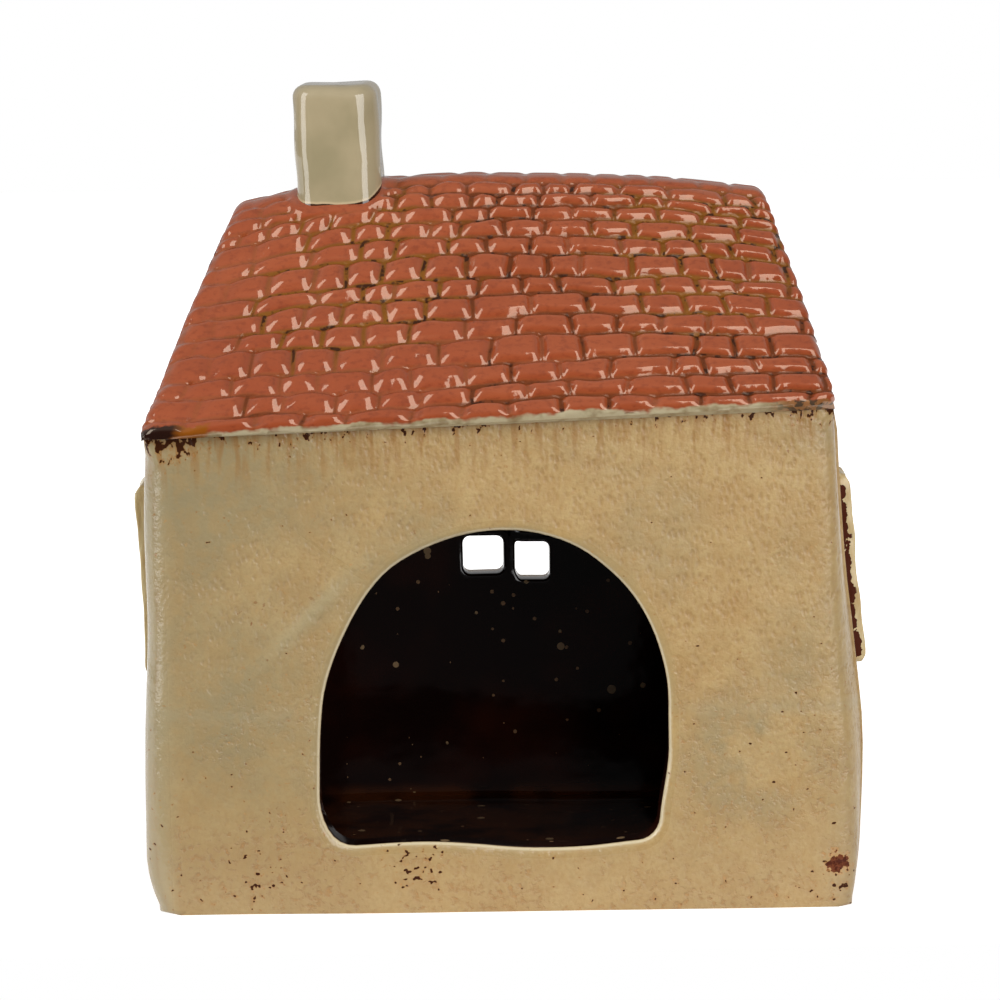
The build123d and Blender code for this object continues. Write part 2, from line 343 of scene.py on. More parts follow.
# %% [markdown]
# ## The walls with pierced windows
# The other three walls have a window of two by two small panes. One flat face is sliced by planes: along
# every edge of the panes, just outside them, and then now and again for the wobble. The faces in the panes
# are deleted, and the rest is extruded and softened. Slicing keeps every line straight and square, which a
# freehand mesh wouldn't.

# %% Slice a flat wall and open its panes
pane_wide, pane_tall, pane_bar = 9 * mm, 8.2 * mm, 2.6 * mm


def pane_spans(start, size):
    """Where two panes and the bar between them begin and end along one direction."""
    return [(start, start + size), (start + size + pane_bar, start + 2 * size + pane_bar)]


def slice_for_window(shape, axis, middle, window_sill, low, high, top):
    """Slices a flat wall that runs along axis from low to high and up to top, and opens four panes in it."""
    across = pane_spans(middle - pane_wide - pane_bar / 2, pane_wide)
    upward = pane_spans(window_sill, pane_tall)
    near = [v for span in across for v in span]
    lines = near + [near[0] - 1.3 * mm, near[3] + 1.3 * mm]
    lines += [v for v in (low + (high - low) * i / 20 for i in range(1, 20)) if min(abs(v - n) for n in lines) > 2 * mm]
    for value in lines:
        slice_at(shape, axis, value)
    near = [v for span in upward for v in span]
    lines = near + [near[0] - 1.3 * mm, near[3] + 1.3 * mm] + foot_rows
    lines += [v for v in (top * i / 22 for i in range(1, 22)) if min(abs(v - n) for n in lines) > 2 * mm]
    for value in lines:
        slice_at(shape, 2, value)
    panes = []
    for face in shape.faces:
        place = face.calc_center_median()
        if any(a < place[axis] < b for a, b in across) and any(a < place.z < b for a, b in upward):
            panes.append(face)
    bmesh.ops.delete(shape, geom=panes, context="FACES")
    print("sliced into", len(shape.faces), "faces,", len(panes), "taken out for panes")


# %% [markdown]
# A pane's corners were rounded by the tool that cut it, and its edges by the sponge and the glaze. So the
# four edges that run through the wall at each pane are bevelled first, and then the rims on both sides.

# %% Soften the panes
def soften_panes(shape, axis, middle, window_sill):
    """Rounds the panes' corners, and then their rims inside and outside. axis is the wall's own direction."""
    through = 1 - axis
    reach, rise = pane_wide + pane_bar / 2 + 0.1 * mm, 2 * pane_tall + pane_bar + 0.1 * mm

    def near_panes(edge):
        return all(abs(v.co[axis] - middle) < reach and -0.1 * mm < v.co.z - window_sill < rise for v in edge.verts)

    corners = [e for e in shape.edges if near_panes(e) and lies_along(e, through)]
    bevel(shape, corners, 2.0 * mm, 4)
    rims = []
    for edge in shape.edges:
        if near_panes(edge) and len(edge.link_faces) == 2:
            across = [abs(f.normal[through]) > 0.7 for f in edge.link_faces]
            if across[0] != across[1]:
                rims.append(edge)
    bevel(shape, rims, 0.75 * mm, 3)
    print("softened", len(corners), "corners and", len(rims), "rims")


def set_panes_askew(shape, axis, middle, window_sill):
    """Lets the panes on one side of the window sit lower and narrower, as they were cut by hand."""
    centre = window_sill + pane_tall + pane_bar / 2
    for vert in shape.verts:
        off = vert.co[axis] - middle
        near = smooth(17 * mm, 11 * mm, abs(off)) * smooth(19 * mm, 12 * mm, abs(vert.co.z - centre))
        lower = smooth(0, 3 * mm, off) * near
        vert.co.z -= 1.4 * mm * lower
        vert.co[axis] -= 0.13 * max(0, off) * lower


# %% The door wall
door_window_middle, door_window_sill = 2.8 * mm, 56.2 * mm
door_side = bmesh.new()
outline = [(x_side * end_at(z, x_side), z) for x_side, z in ((-1, 0), (1, 0), (1, eave_right), (-1, eave_left))]
door_side.faces.new([door_side.verts.new((x, half_depth, z)) for x, z in outline])
slice_for_window(door_side, 0, door_window_middle, door_window_sill, -half_width, half_width, eave_right)
thicken_long_wall(door_side, -1)
soften_panes(door_side, 0, door_window_middle, door_window_sill)
set_panes_askew(door_side, 0, door_window_middle, door_window_sill)
for side, width in ((-1, 5.0 * mm), (1, 3.2 * mm)):
    uprights = [e for e in door_side.edges if on_plane(e, 1, half_depth) and len(e.link_faces) == 2
                and any(abs(f.normal.y) < 0.5 for f in e.link_faces)
                and at_end(e, side) and e.verts[0].co.z + e.verts[1].co.z > 0.4 * mm]
    bevel(door_side, uprights, width, 5)
mark(door_side, "inside", lambda p: smooth(0.6, 1.8, (half_depth - p.y) / mm) * within_ends(p))
mark(door_side, "below_roof", below_long_roof)
for vert in door_side.verts:
    vert.co = by_hand(vert.co)
door_wall = finish_piece(door_side, "door_wall")

# %% [markdown]
# The gables stand between the long walls and lean in above the shoulder, so that the roof is shorter at the
# ridge than at the eave. They start as a tall flat face, are cut under the two slopes of the roof, and are
# leaned by moving their points.

# %% The two gables
end_window_sill = 55 * mm


def gable(side):
    shape = bmesh.new()
    reach = half_depth - wall + 0.4 * mm
    top = ridge - roof_thickness
    shape.faces.new([shape.verts.new((side * half_width, y, z)) for y, z in
                     ((-reach, 0), (reach, 0), (reach, top), (-reach, top))])
    slice_for_window(shape, 1, 0, end_window_sill, -reach, reach, top)
    for way in (-1, 1):
        pitch, length = pitch_at(side * half_width * 0.9)
        edge_of_wall = Vector((0, way * half_depth, eave_at(side * half_width * 0.9) + 0.8 * mm))
        up_and_out = Vector((0, way * math.sin(pitch), math.cos(pitch)))
        bmesh.ops.bisect_plane(shape, geom=shape.verts[:] + shape.edges[:] + shape.faces[:], dist=0.01 * mm,
                               plane_co=edge_of_wall, plane_no=up_and_out, clear_outer=True)
    made = bmesh.ops.extrude_face_region(shape, geom=shape.faces[:])
    moved = [v for v in made["geom"] if isinstance(v, bmesh.types.BMVert)]
    bmesh.ops.translate(shape, verts=moved, vec=(-side * wall, 0, 0))
    bmesh.ops.recalc_face_normals(shape, faces=shape.faces)
    soften_panes(shape, 1, 0, end_window_sill)
    pitch, length = pitch_at(side * half_width * 0.9)
    under_ridge = eave_at(side * half_width * 0.9) + half_depth * math.tan(pitch)
    mark(shape, "inside", lambda p: smooth(0.6, 1.8, (half_width - abs(p.x)) / mm))
    mark(shape, "below_roof", lambda p: (under_ridge - abs(p.y) * math.tan(pitch) - p.z) * math.cos(pitch) / mm)
    for vert in shape.verts:
        vert.co.x += side * (end_at(vert.co.z, side) - half_width - 0.03 * mm)
        vert.co = by_hand(vert.co)
    return shape


left_gable = finish_piece(gable(-1), "left_gable_wall")
right_gable = finish_piece(gable(1), "right_gable_wall")

# %% [markdown]
# ## The floor
# The floor is a slab let in between the walls. Glaze runs down the walls and gathers round its edge, so the
# floor turns up a little there. A grid is enough for the top; its edge is extruded down to the table.

# %% The floor slab
floor_shape = bmesh.new()
bmesh.ops.create_grid(floor_shape, x_segments=60, y_segments=34, size=0.5)
floor_long, floor_wide, floor_top = half_width - wall, half_depth - wall + 0.2 * mm, 6.5 * mm
for vert in floor_shape.verts:
    x, y = vert.co.x * 2 * floor_long, vert.co.y * 2 * floor_wide
    to_wall = min(floor_long - abs(x), floor_wide - abs(y))
    vert.co = Vector((x, y, floor_top + 1.4 * mm * (1 - smooth(0, 3.2 * mm, to_wall)) ** 2))
    vert.co.z += 0.35 * mm * noise.noise(vert.co * 60)
rim_edges = [e for e in floor_shape.edges if e.is_boundary]
down = bmesh.ops.extrude_edge_only(floor_shape, edges=rim_edges)
for vert in [v for v in down["geom"] if isinstance(v, bmesh.types.BMVert)]:
    vert.co.z = 0
bmesh.ops.edgeloop_fill(floor_shape, edges=[e for e in floor_shape.edges if e.is_boundary])
for vert in floor_shape.verts:
    vert.co = by_hand(vert.co)
floor_slab = finish_piece(floor_shape, "floor_slab")

# %% [markdown]
# ## The tiled roof
# The tiles are pressed into the soft roof slab with a tool, course after course, by eye. They are pillows
# with round edges, no two alike, and the glaze fills some of the grooves. Modelling each tile apart would
# give a roof of bricks, so one fine grid is laid on the roof's curve, and each point is sunk by how near it
# is to a groove. First comes the roof's own curve: round over the ridge, then straight down to the eave.

# %% The roof's curve
def roof_point(across, down, sink):
    """A point of the roof, from 0 to 1 along and down it, sunk below the top face: y from the ridge, then z."""
    found = []
    for x in (-half_width, half_width):
        pitch, length = pitch_at(x)
        round_over = ridge_radius * pitch
        way = down * (round_over + length + overhang)
        turn = min(way / ridge_radius, pitch)
        straight = max(0, way - round_over)
        radius = ridge_radius - sink
        found.append((radius * math.sin(turn) + straight * math.cos(turn),
                      ridge_centre + radius * math.cos(turn) - straight * math.sin(turn)))
    (y0, z0), (y1, z1) = found
    return y0 + (y1 - y0) * across, z0 + (z1 - z0) * across


def verge_at(z, side):
    """Where the roof ends over a gable at height z."""
    return side * (half_width - batter + 0.8 * mm - gable_lean[side] * (z - shoulder) / roof_rise + swell_above(z, side))


def on_roof(along, down, sink, side):
    """A point of one slope (side -1 is over the arch), along from 0 to 1 between its leaning ends."""
    across = along
    for again in range(3):
        z = roof_point(across, down, 0)[1]
        x = verge_at(z, -1) * (1 - along) + verge_at(z, 1) * along
        across = (x + half_width) / (2 * half_width)
    y, z = roof_point(across, down, sink)
    return Vector((x, side * y, z))


print("eave from", [round(v, 4) for v in on_roof(0, 1, 0, -1)], "to", [round(v, 4) for v in on_roof(1, 1, 0, -1)])

# %% [markdown]
# The courses are uneven: narrow near the ridge, then now wide and now narrow. Their heights here follow the
# photograph from the ridge to the eave. The joints in a course are spaced at random and kept away from the
# joints of the course above, as a tiler would.

# %% Lay the courses
course_heights = (5.6, 3.8, 3.2, 3.4, 4.4, 4.5, 6.0, 4.2, 5.7, 4.8, 6.5, 5.1, 4.7, 3.9)
tiles_in_course = 14.3


def lay_courses(seed):
    """For every course: where it begins from 0 to 1, its joints along the roof, and how deep each joint is."""
    pick = random.Random(seed)
    total = sum(course_heights)
    laid, begin, above = [], 0, [9]
    for height in course_heights:
        best, best_gap = None, -1
        for attempt in range(30):
            joints = [-pick.uniform(0.3, 1.2) / tiles_in_course]
            while joints[-1] < 1.02:
                joints.append(joints[-1] + pick.choice((0.72, 0.85, 1.0, 1.0, 1.15, 1.32)) / tiles_in_course
                              * pick.uniform(0.9, 1.1))
            gap = min(min(abs(j - a) for a in above) for j in joints[1:-1])
            if gap > best_gap:
                best, best_gap = joints, gap
        laid.append({
            "begin": begin / total,
            "joints": best,
            "deep": [pick.choice((0.55, 0.8, 1.0, 1.0)) for joint in best],
            "slant": [pick.uniform(-0.006, 0.006) for joint in best],
            "lift": [pick.uniform(-0.16, 0.16) for joint in best],
        })
        above = best
        begin += height
    laid.append({"begin": 1.0})
    return laid


courses_over_arch = lay_courses(4)
courses_over_door = lay_courses(11)

# %% [markdown]
# Every point of the grid now finds its course and its tile, and the distance to the four grooves round it.
# A tile is a pillow: its face bends down towards each groove, furthest along its lower edge, as wet clay
# does under a tool. The four bends are joined so that the strongest one counts most, which rounds the
# corners by itself. In a few places the glaze ran into the grooves and made them shallow: near the left
# end, and low down in the middle. The same distances are kept as marks for the glaze.

# %% Sink the grooves
groove_depth = 1.45


def bend_down(gap, reach, deep):
    """How far a tile's face has bent down at a gap from a groove; 1 is as deep as a groove goes."""
    s = max(0, 1 - max(0, gap - 0.25) / reach)
    return deep * s * s


def patch_at(along, down, wide, tall, here_along, here_down):
    """1 in the middle of a soft round patch of the roof and 0 far from it."""
    return math.exp(-(((here_along - along) / wide) ** 2) - ((here_down - down) / tall) ** 2)


def groove_line(courses, number, along):
    """Where the groove above a course runs: it wavers along the roof."""
    if number == 0 or number == len(courses) - 1:
        return courses[number]["begin"]
    waver = noise.noise(Vector((along * 6, number * 3.7, 1.5))) * 0.011
    waver += noise.noise(Vector((along * 26, number * 5.1, 8.5))) * 0.009
    return courses[number]["begin"] + waver


def tile_face(courses, lines, along, down, slope_long, roof_long):
    """Height of the tiled face in millimetres, how much of a groove it is, and a number for the tile."""
    along += 0.004 * noise.noise(Vector((along * 24, down * 15, 4.4)))
    course = max(0, min(len(lines) - 2, bisect_right(lines, down) - 1))
    laid = courses[course]
    joints = laid["joints"]
    part = (down - lines[course]) / max(1e-6, lines[course + 1] - lines[course])
    tile = max(0, min(len(joints) - 2, bisect_right(joints, along) - 1))
    left = along - joints[tile] - laid["slant"][tile] * (part - 0.5)
    right = joints[tile + 1] + laid["slant"][tile + 1] * (part - 0.5) - along
    upper, lower = (down - lines[course]) * slope_long, (lines[course + 1] - down) * slope_long
    row_deep = 0.95 + 0.45 * noise.noise(Vector((along * 9, down * 5, 2)))
    row_deep -= 0.5 * patch_at(0.25, 0.82, 0.24, 0.15, along, down) + 0.35 * patch_at(0.12, 0.2, 0.16, 0.14, along, down)
    row_deep -= 0.45 * patch_at(0.56, 0.72, 0.12, 0.12, along, down)
    row_deep = min(1, max(0.25, row_deep))
    joint_deep = [deep * (0.4 + 0.6 * row_deep) for deep in laid["deep"][tile:tile + 2]]
    soft = 1 + 1.3 * smooth(0.62, 0.3, along) + 0.3 * (1 - row_deep)
    if course == 0:
        upper = 9
    if course == len(lines) - 2:
        lower = 9
    keep = 0.42 + 0.58 * smooth(0.02, 0.15, along + 0.05 * noise.noise(Vector((down * 7, 3, 3))))
    keep *= 0.22 + 0.78 * smooth(0.03, 0.13, down)
    grooves = ((left * roof_long, 1.5 * soft, joint_deep[0]), (upper, 1.0, row_deep),
               (right * roof_long, 1.5 + 0.6 * (soft - 1), joint_deep[1]), (lower, 1.55 * soft, row_deep))
    bent = sum((0.4 + 0.6 * deep) * bend_down(gap, reach, 1) ** 1.5 for gap, reach, deep in grooves) ** (1 / 1.5) * keep
    height = -1.15 * groove_depth * math.tanh(bent / 1.15)
    swell = (0.1 + 0.2 * (soft - 1)) * (1 - ((left - right) / max(1e-6, left + right)) ** 2)
    height += (laid["lift"][tile] + swell) * keep * (1 - min(1, bent))
    in_groove = max(deep * (1 - smooth(0.2, 0.95, gap)) for gap, reach, deep in grooves) * keep
    crest = math.exp(-(((min(gap for gap, reach, deep in grooves) - 1.25) / 0.3) ** 2)) * keep * smooth(0.5, 1, row_deep)
    return height, in_groove, crest, part


print("a tile's face bends by", [round(bend_down(gap, 3.2, 1), 2) for gap in (0, 1, 2, 3)])

# %% [markdown]
# The roof slab's own edges are soft. At the two ends and the eave the face rolls over before it turns down,
# and along the ends each course swells a little, which gives the roof its toothed outline. The edge is then
# extruded down to the slab's underside, in two steps at the eave for the roll that hangs there. Round the
# chimney's foot the tiles fade out, so the chimney's size and place are set down here.

# %% Build one slope
chimney_size = Vector((17.4, 16, 32)) * mm
chimney_place = Matrix.Translation((-31.6 * mm, -1.9 * mm, 150 * mm)) @ Matrix.Rotation(math.radians(-4), 4, "Z")


def roll_over(gap, radius):
    """How far a face drops at a gap from a rounded edge."""
    if gap >= radius:
        return 0
    return radius - math.sqrt(max(0, radius * radius - (radius - gap) ** 2))


def round_corner(along, down, roof_long, slope_long, side):
    """Draws the slab's corner at the eave inwards, so that it is round on the plan."""
    end_gap, eave_gap = min(along, 1 - along) * roof_long, (1 - down) * slope_long
    inward = 0.7 * math.exp(-eave_gap / 1.8) * math.exp(-end_gap / 6)
    upward = 0.9 * math.exp(-end_gap / 3.5) * math.exp(-eave_gap / 6)
    return Vector((-math.copysign(inward, along - 0.5), -side * upward * 0.7, upward * 0.7)) * mm


def beside_chimney(along, down, side):
    """1 round the foot of the chimney, where the tiles were smoothed away to seat it, and 0 further off."""
    spot = chimney_place.inverted() @ on_roof(along, down, 0, side)
    gap = math.hypot(max(0, abs(spot.x) - chimney_size.x / 2 + 3 * mm), max(0, abs(spot.y) - chimney_size.y / 2 + 3 * mm))
    return 1 - smooth(3.3 * mm, 5.2 * mm, gap)


def roof_slope(courses, side, cells_along, cells_down):
    shape = bmesh.new()
    bmesh.ops.create_grid(shape, x_segments=cells_along, y_segments=cells_down, size=0.5)
    layers = {name: shape.verts.layers.float.new(name) for name in ("groove", "crest", "eave", "verge", "under")}
    place = {}
    columns = {}
    for vert in shape.verts:
        along, down = vert.co.x + 0.5, 0.5 - vert.co.y
        place[vert] = (along, down)
        column = round(along * cells_along)
        if column not in columns:
            lines = [groove_line(courses, n, along) for n in range(len(courses))]
            pitch, length = pitch_at((2 * along - 1) * half_width)
            columns[column] = lines, (ridge_radius * pitch + length + overhang) / mm
        lines, slope_long = columns[column]
        level = on_roof(0.5, down, 0, side).z
        roof_long = (verge_at(level, 1) - verge_at(level, -1)) / mm
        height, groove, crest, part = tile_face(courses, lines, along, down, slope_long, roof_long)
        end_gap = min(along, 1 - along) * roof_long
        eave_gap = (1 - down) * slope_long
        meet = smooth(0, 2.0, down * slope_long)
        height = -0.4 + (height + 0.4) * meet
        height *= smooth(0.3, 1.9, eave_gap)
        seat = beside_chimney(along, down, side) if down < 0.5 and along < 0.5 else 0
        height += (0.2 - height) * seat
        drop = roll_over(end_gap, 2.6) + roll_over(eave_gap, 1.9)
        spot = on_roof(along, down, (drop - height) * mm, side)
        swell = 0.75 * (math.sin(math.pi * min(1, max(0, part))) - 0.6) * math.exp(-end_gap / 3.0) * meet
        spot.x += math.copysign(swell * mm, along - 0.5)
        vert.co = spot + round_corner(along, down, roof_long, slope_long, side)
        vert[layers["groove"]] = groove * meet * (1 - seat)
        vert[layers["crest"]] = crest * meet * (1 - seat)
        vert[layers["eave"]] = eave_gap
        vert[layers["verge"]] = end_gap
        vert[layers["under"]] = 0
    edges = [e for e in shape.edges if e.is_boundary and any(place[v][1] > 1e-6 for v in e.verts)]
    ridge_edges = [e for e in shape.edges if e.is_boundary and e not in set(edges)]
    for sink, push, under in ((2.1, 0.66, 0.2), (2.7, 0.75, 0.35), (3.3, 0.7, 0.55), (3.9, 0.4, 0.75), (4.5, -0.35, 1.0)):
        made = bmesh.ops.extrude_edge_only(shape, edges=edges)["geom"]
        edges = [e for e in made if isinstance(e, bmesh.types.BMEdge)]
        for vert in [v for v in made if isinstance(v, bmesh.types.BMVert)]:
            edge_back = [e.other_vert(vert) for e in vert.link_edges if e.other_vert(vert) in place]
            along, down = place[edge_back[0]]
            place[vert] = (along, down)
            spot = on_roof(along, down, sink * mm, side)
            eave_here = smooth(0.985, 1.0, down)
            waver = noise.noise(Vector((along * 14, side * 3, 2.6))) * 0.35
            spot.y += side * eave_here * (push + waver) * 0.7 * mm
            spot.z -= eave_here * (push + waver) * 0.7 * mm
            vert.co = spot + round_corner(along, down, 130, 60, side)
            vert[layers["under"]] = under
            vert[layers["eave"]] = (1 - down) * 60
            vert[layers["verge"]] = min(along, 1 - along) * 130
    sides = [e for e in edges if all(place[v][0] < 1e-6 for v in e.verts) or all(place[v][0] > 1 - 1e-6 for v in e.verts)]
    bmesh.ops.bridge_loops(shape, edges=sides)
    for again in range(2):
        loose = [e for e in shape.edges if e.is_boundary]
        bmesh.ops.edgeloop_fill(shape, edges=loose)
    for vert in shape.verts:
        vert.co = by_hand(vert.co)
    open_edges = sum(e.is_boundary for e in shape.edges)
    print("roof slope", side, "open edges left:", open_edges)
    return shape


roof_arch_slope = finish_piece(roof_slope(courses_over_arch, -1, 380, 190), "roof_arch_slope", 80)
roof_door_slope = finish_piece(roof_slope(courses_over_door, 1, 380, 190), "roof_door_slope", 80)

# %% [markdown]
# ## The chimney
# The chimney is a solid block with well rounded edges, set astride the ridge and turned a little. A cube
# bevelled along its uprights and its top gives it. Its foot follows the roof's curve and goes a little way
# into the slab, so that no gap opens at any point.

# %% The chimney block
def roof_height(x, y):
    """Height of the roof's smooth face over a place on the plan."""
    pitch, length = pitch_at(x)
    if abs(y) < ridge_radius * math.sin(pitch):
        return ridge_centre + math.sqrt(ridge_radius ** 2 - y * y)
    past_round = (abs(y) - ridge_radius * math.sin(pitch)) / math.cos(pitch)
    return ridge_centre + ridge_radius * math.cos(pitch) - past_round * math.sin(pitch)


stack = bmesh.new()
bmesh.ops.create_cube(stack, size=1)
bmesh.ops.scale(stack, vec=chimney_size, verts=stack.verts)
top_of_stack = chimney_size.z / 2
bevel(stack, [e for e in stack.edges if lies_along(e, 2)], 4.3 * mm, 7)
bevel(stack, [e for e in stack.edges if on_plane(e, 2, top_of_stack)], 2.7 * mm, 6)
upright = [e for e in stack.edges if lies_along(e, 2) and e.calc_length() > 5 * mm]
bmesh.ops.subdivide_edges(stack, edges=upright, cuts=16, use_grid_fill=True)
level = [e for e in stack.edges if not lies_along(e, 2) and e.calc_length() > 5 * mm]
bmesh.ops.subdivide_edges(stack, edges=level, cuts=7, use_grid_fill=True)
for vert in stack.verts:
    climb = vert.co.z / chimney_size.z + 0.5
    vert.co.x -= 0.9 * mm * (climb - 0.6)
    vert.co.z += 0.035 * vert.co.x * smooth(0.6, 1, climb)
bmesh.ops.transform(stack, matrix=chimney_place, verts=stack.verts)
lowest = 150 * mm - top_of_stack
foot_layer = stack.verts.layers.float.new("foot")
for vert in stack.verts:
    surface = roof_height(vert.co.x, vert.co.y) - 2.4 * mm
    if vert.co.z < 156 * mm:
        share = (vert.co.z - lowest) / (156 * mm - lowest)
        vert.co.z = surface + (156 * mm - surface) * share
    vert[foot_layer] = (vert.co.z - roof_height(vert.co.x, vert.co.y)) / mm
    vert.co = by_hand(vert.co) + drift(vert.co * 110) * (0.45 * mm)
chimney = finish_piece(stack, "chimney")

# %% [markdown]
# ## Shutters, door and knob
# The shutters are strips of clay laid on the wall, scored with a knife into three boards. Each starts as a
# block; two narrow strips of its face are sliced out and pressed in, and then every edge is softened. In the
# photo the right one stands out further at its foot and the left one at its head, so they taper.

# %% A scored clay board
def score(shape, where, width, depth, axis, face_axis, face_at):
    """Presses a narrow groove into the face of a board, from end to end."""
    for edge in (where - width / 2, where + width / 2):
        slice_at(shape, axis, edge)
    strip = [f for f in shape.faces if abs(f.normal[face_axis]) > 0.9
             and abs(f.calc_center_median()[axis] - where) < width / 2
             and abs(f.calc_center_median()[face_axis] - face_at) < 0.05 * mm]
    for face in strip:
        for vert in face.verts:
            vert.co[face_axis] = face_at - depth


def mark_edges(shape, wide, tall, brown):
    """Keeps, from 0 to 1 and scaled by brown, where a board is brown: in its scored grooves, where the glaze is brown,
    and along its sides next to the wall, where the brown is painted shade of the gap behind the board.
    """
    def scored_or_gap_shade(point):
        to_edge = min(wide / 2 - abs(point.x), tall / 2 - abs(point.z))
        # Painted shade: the sides next to the wall are browned where the gap between board and wall lies in shade; the
        # scored grooves on the next line are brown glaze.
        behind = smooth(3.0 * mm, 1.3 * mm, point.y) * smooth(0.3 * mm, 3 * mm, tall / 2 - abs(point.z))
        return brown * max(behind, 0.42 * smooth(3.2 * mm, 2.9 * mm, point.y) * smooth(1.2 * mm, 2 * mm, to_edge))

    mark(shape, "rim", scored_or_gap_shade)


def shutter_board(head, foot_thick, seed, tall=42 * mm, brown=1):
    """A shutter lying in the xz plane with its back at y=0 and its face towards +y."""
    wide = 13 * mm
    shape = bmesh.new()
    bmesh.ops.create_cube(shape, size=1)
    bmesh.ops.scale(shape, vec=(wide, 3.4 * mm, tall), verts=shape.verts)
    bmesh.ops.translate(shape, vec=(0, 1.7 * mm, 0), verts=shape.verts)
    bevel(shape, [e for e in shape.edges if lies_along(e, 1)], 1.7 * mm, 4)
    for where in (-2.3 * mm, 2.1 * mm):
        score(shape, where, 0.9 * mm, 0.75 * mm, 0, 1, 3.4 * mm)
    for step in range(1, 28):
        slice_at(shape, 2, -tall / 2 + tall * step / 28)
    for depth in (0.8 * mm, 1.6 * mm, 2.3 * mm):
        slice_at(shape, 1, depth)
    face_edges = [e for e in shape.edges if len(e.link_faces) == 2 and e.calc_face_angle(0) > 0.5
                  and min(v.co.y for v in e.verts) > 2 * mm]
    bevel(shape, face_edges, 0.42 * mm, 3)
    mark_edges(shape, wide, tall, brown)
    for vert in shape.verts:
        climb = vert.co.z / tall + 0.5
        to_head_or_foot = (0.5 - abs(climb - 0.5)) * tall
        vert.co.y *= (foot_thick + (head - foot_thick) * climb) / 3.4 * (0.5 + 0.5 * smooth(-mm, 2.4 * mm, to_head_or_foot))
        ragged = drift(vert.co * 230 + Vector((seed, 0, 0)))
        vert.co.x += ragged.x * 0.32 * mm
        vert.co.y *= 1 + 0.14 * noise.noise(Vector((seed, 1.7, vert.co.z * 170)))
        vert.co.z += ragged.z * 0.4 * mm
    return shape


def on_end_wall(side, y, z):
    """The place of a board on a gable: its face outwards, leaning with the wall."""
    lean = Matrix.Rotation(side * math.atan2(batter, shoulder) * -1, 4, "Y")
    turn = Matrix.Rotation(math.radians(-90 * side), 4, "Z")
    return Matrix.Translation((side * (end_at(z, side) - 0.15 * mm), y, z)) @ lean @ turn


def hang(shape, place, node):
    bmesh.ops.transform(shape, matrix=place, verts=shape.verts)
    for vert in shape.verts:
        vert.co = by_hand(vert.co)
    return finish_piece(shape, node)


shutter_middle = (12.8 + 6.5) * mm
shutters = []
for side, name, head, foot_thick, brown in ((-1, "left", 2.9, 1.0, 0.0), (1, "right", 2.9, 2.6, 1)):
    for y, where in ((-shutter_middle, "arch_side"), (shutter_middle, "door_side")):
        board = shutter_board(head, foot_thick, side * 3 + y * 100, 39.6 * mm, brown)
        shutters.append(hang(board, on_end_wall(side, y, 66.4 * mm), name + "_shutter_" + where))
for x, name in ((door_window_middle - shutter_middle, "front_shutter_left"),
                (door_window_middle + shutter_middle, "front_shutter_right")):
    place = Matrix.Translation((x, half_depth - 0.15 * mm, 67.5 * mm))
    shutters.append(hang(shutter_board(3.3, 3.0, x * 300), place, name))

# %% [markdown]
# The door is a round-headed slab under the front window, scored into four planks. It is made like the mouth:
# a face whose upper corners are bevelled until they meet. The knob is a short profile spun round its axis.

# %% The plank door and its knob
door_wide, door_tall, door_thick, door_middle = 24 * mm, 44 * mm, 2.6 * mm, door_window_middle
door_foot = 3 * mm
planks = bmesh.new()
planks.faces.new([planks.verts.new((x, 0, z)) for x, z in
                  ((-door_wide / 2, 0), (door_wide / 2, 0), (door_wide / 2, door_tall), (-door_wide / 2, door_tall))])
bmesh.ops.bevel(planks, geom=[v for v in planks.verts if v.co.z > mm], offset=door_wide / 2 * 0.9999, segments=14,
                profile=0.5, affect="VERTICES", material=-1, clamp_overlap=False)
bmesh.ops.remove_doubles(planks, verts=planks.verts, dist=0.02 * mm)
made = bmesh.ops.extrude_face_region(planks, geom=planks.faces[:])["geom"]
bmesh.ops.translate(planks, vec=(0, door_thick, 0), verts=[v for v in made if isinstance(v, bmesh.types.BMVert)])
bmesh.ops.recalc_face_normals(planks, faces=planks.faces)
for where in (-6 * mm, 0, 6 * mm):
    score(planks, where, 0.9 * mm, 0.7 * mm, 0, 1, door_thick)
for step in range(1, 12):
    slice_at(planks, 2, door_tall * step / 12)
face_edges = [e for e in planks.edges if len(e.link_faces) == 2 and e.calc_face_angle(0) > 0.5
              and min(v.co.y for v in e.verts) > 1.5 * mm]
bevel(planks, face_edges, 0.4 * mm, 3)


def door_rim(point):
    if point.z > door_tall - door_wide / 2:
        return door_wide / 2 - math.hypot(point.x, point.z - door_tall + door_wide / 2)
    return min(door_wide / 2 - abs(point.x), point.z + mm)


mark(planks, "rim", lambda p: 1 - smooth(0, 1.6 * mm, door_rim(p)))
bmesh.ops.translate(planks, vec=(door_middle, half_depth - 0.1 * mm, door_foot), verts=planks.verts)
for vert in planks.verts:
    vert.co = by_hand(vert.co)
front_door = finish_piece(planks, "front_door")

knob = bmesh.new()
profile = ((0, 2.6), (0.8, 2.45), (1.45, 1.95), (1.7, 1.25), (1.45, 0.55), (0.95, 0.2), (0.95, -0.4))
points = [knob.verts.new((r * mm, y * mm, 0)) for r, y in profile]
for first, second in zip(points, points[1:]):
    knob.edges.new((first, second))
bmesh.ops.spin(knob, geom=knob.verts[:] + knob.edges[:], cent=(0, 0, 0), axis=(0, 1, 0), angle=2 * math.pi,
               steps=20, use_merge=True)
bmesh.ops.remove_doubles(knob, verts=knob.verts, dist=0.02 * mm)
bmesh.ops.edgeloop_fill(knob, edges=[e for e in knob.edges if e.is_boundary])
knob_box = [Vector(corner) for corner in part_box("door_knob")]
knob_middle = (knob_box[0] + knob_box[1]) / 2
mark(knob, "rim", lambda p: smooth(1.9 * mm, 2.6 * mm, p.y))
bmesh.ops.translate(knob, vec=(knob_middle.x, half_depth + door_thick - 0.1 * mm, knob_middle.z), verts=knob.verts)
for vert in knob.verts:
    vert.co = by_hand(vert.co)
door_knob = finish_piece(knob, "door_knob")

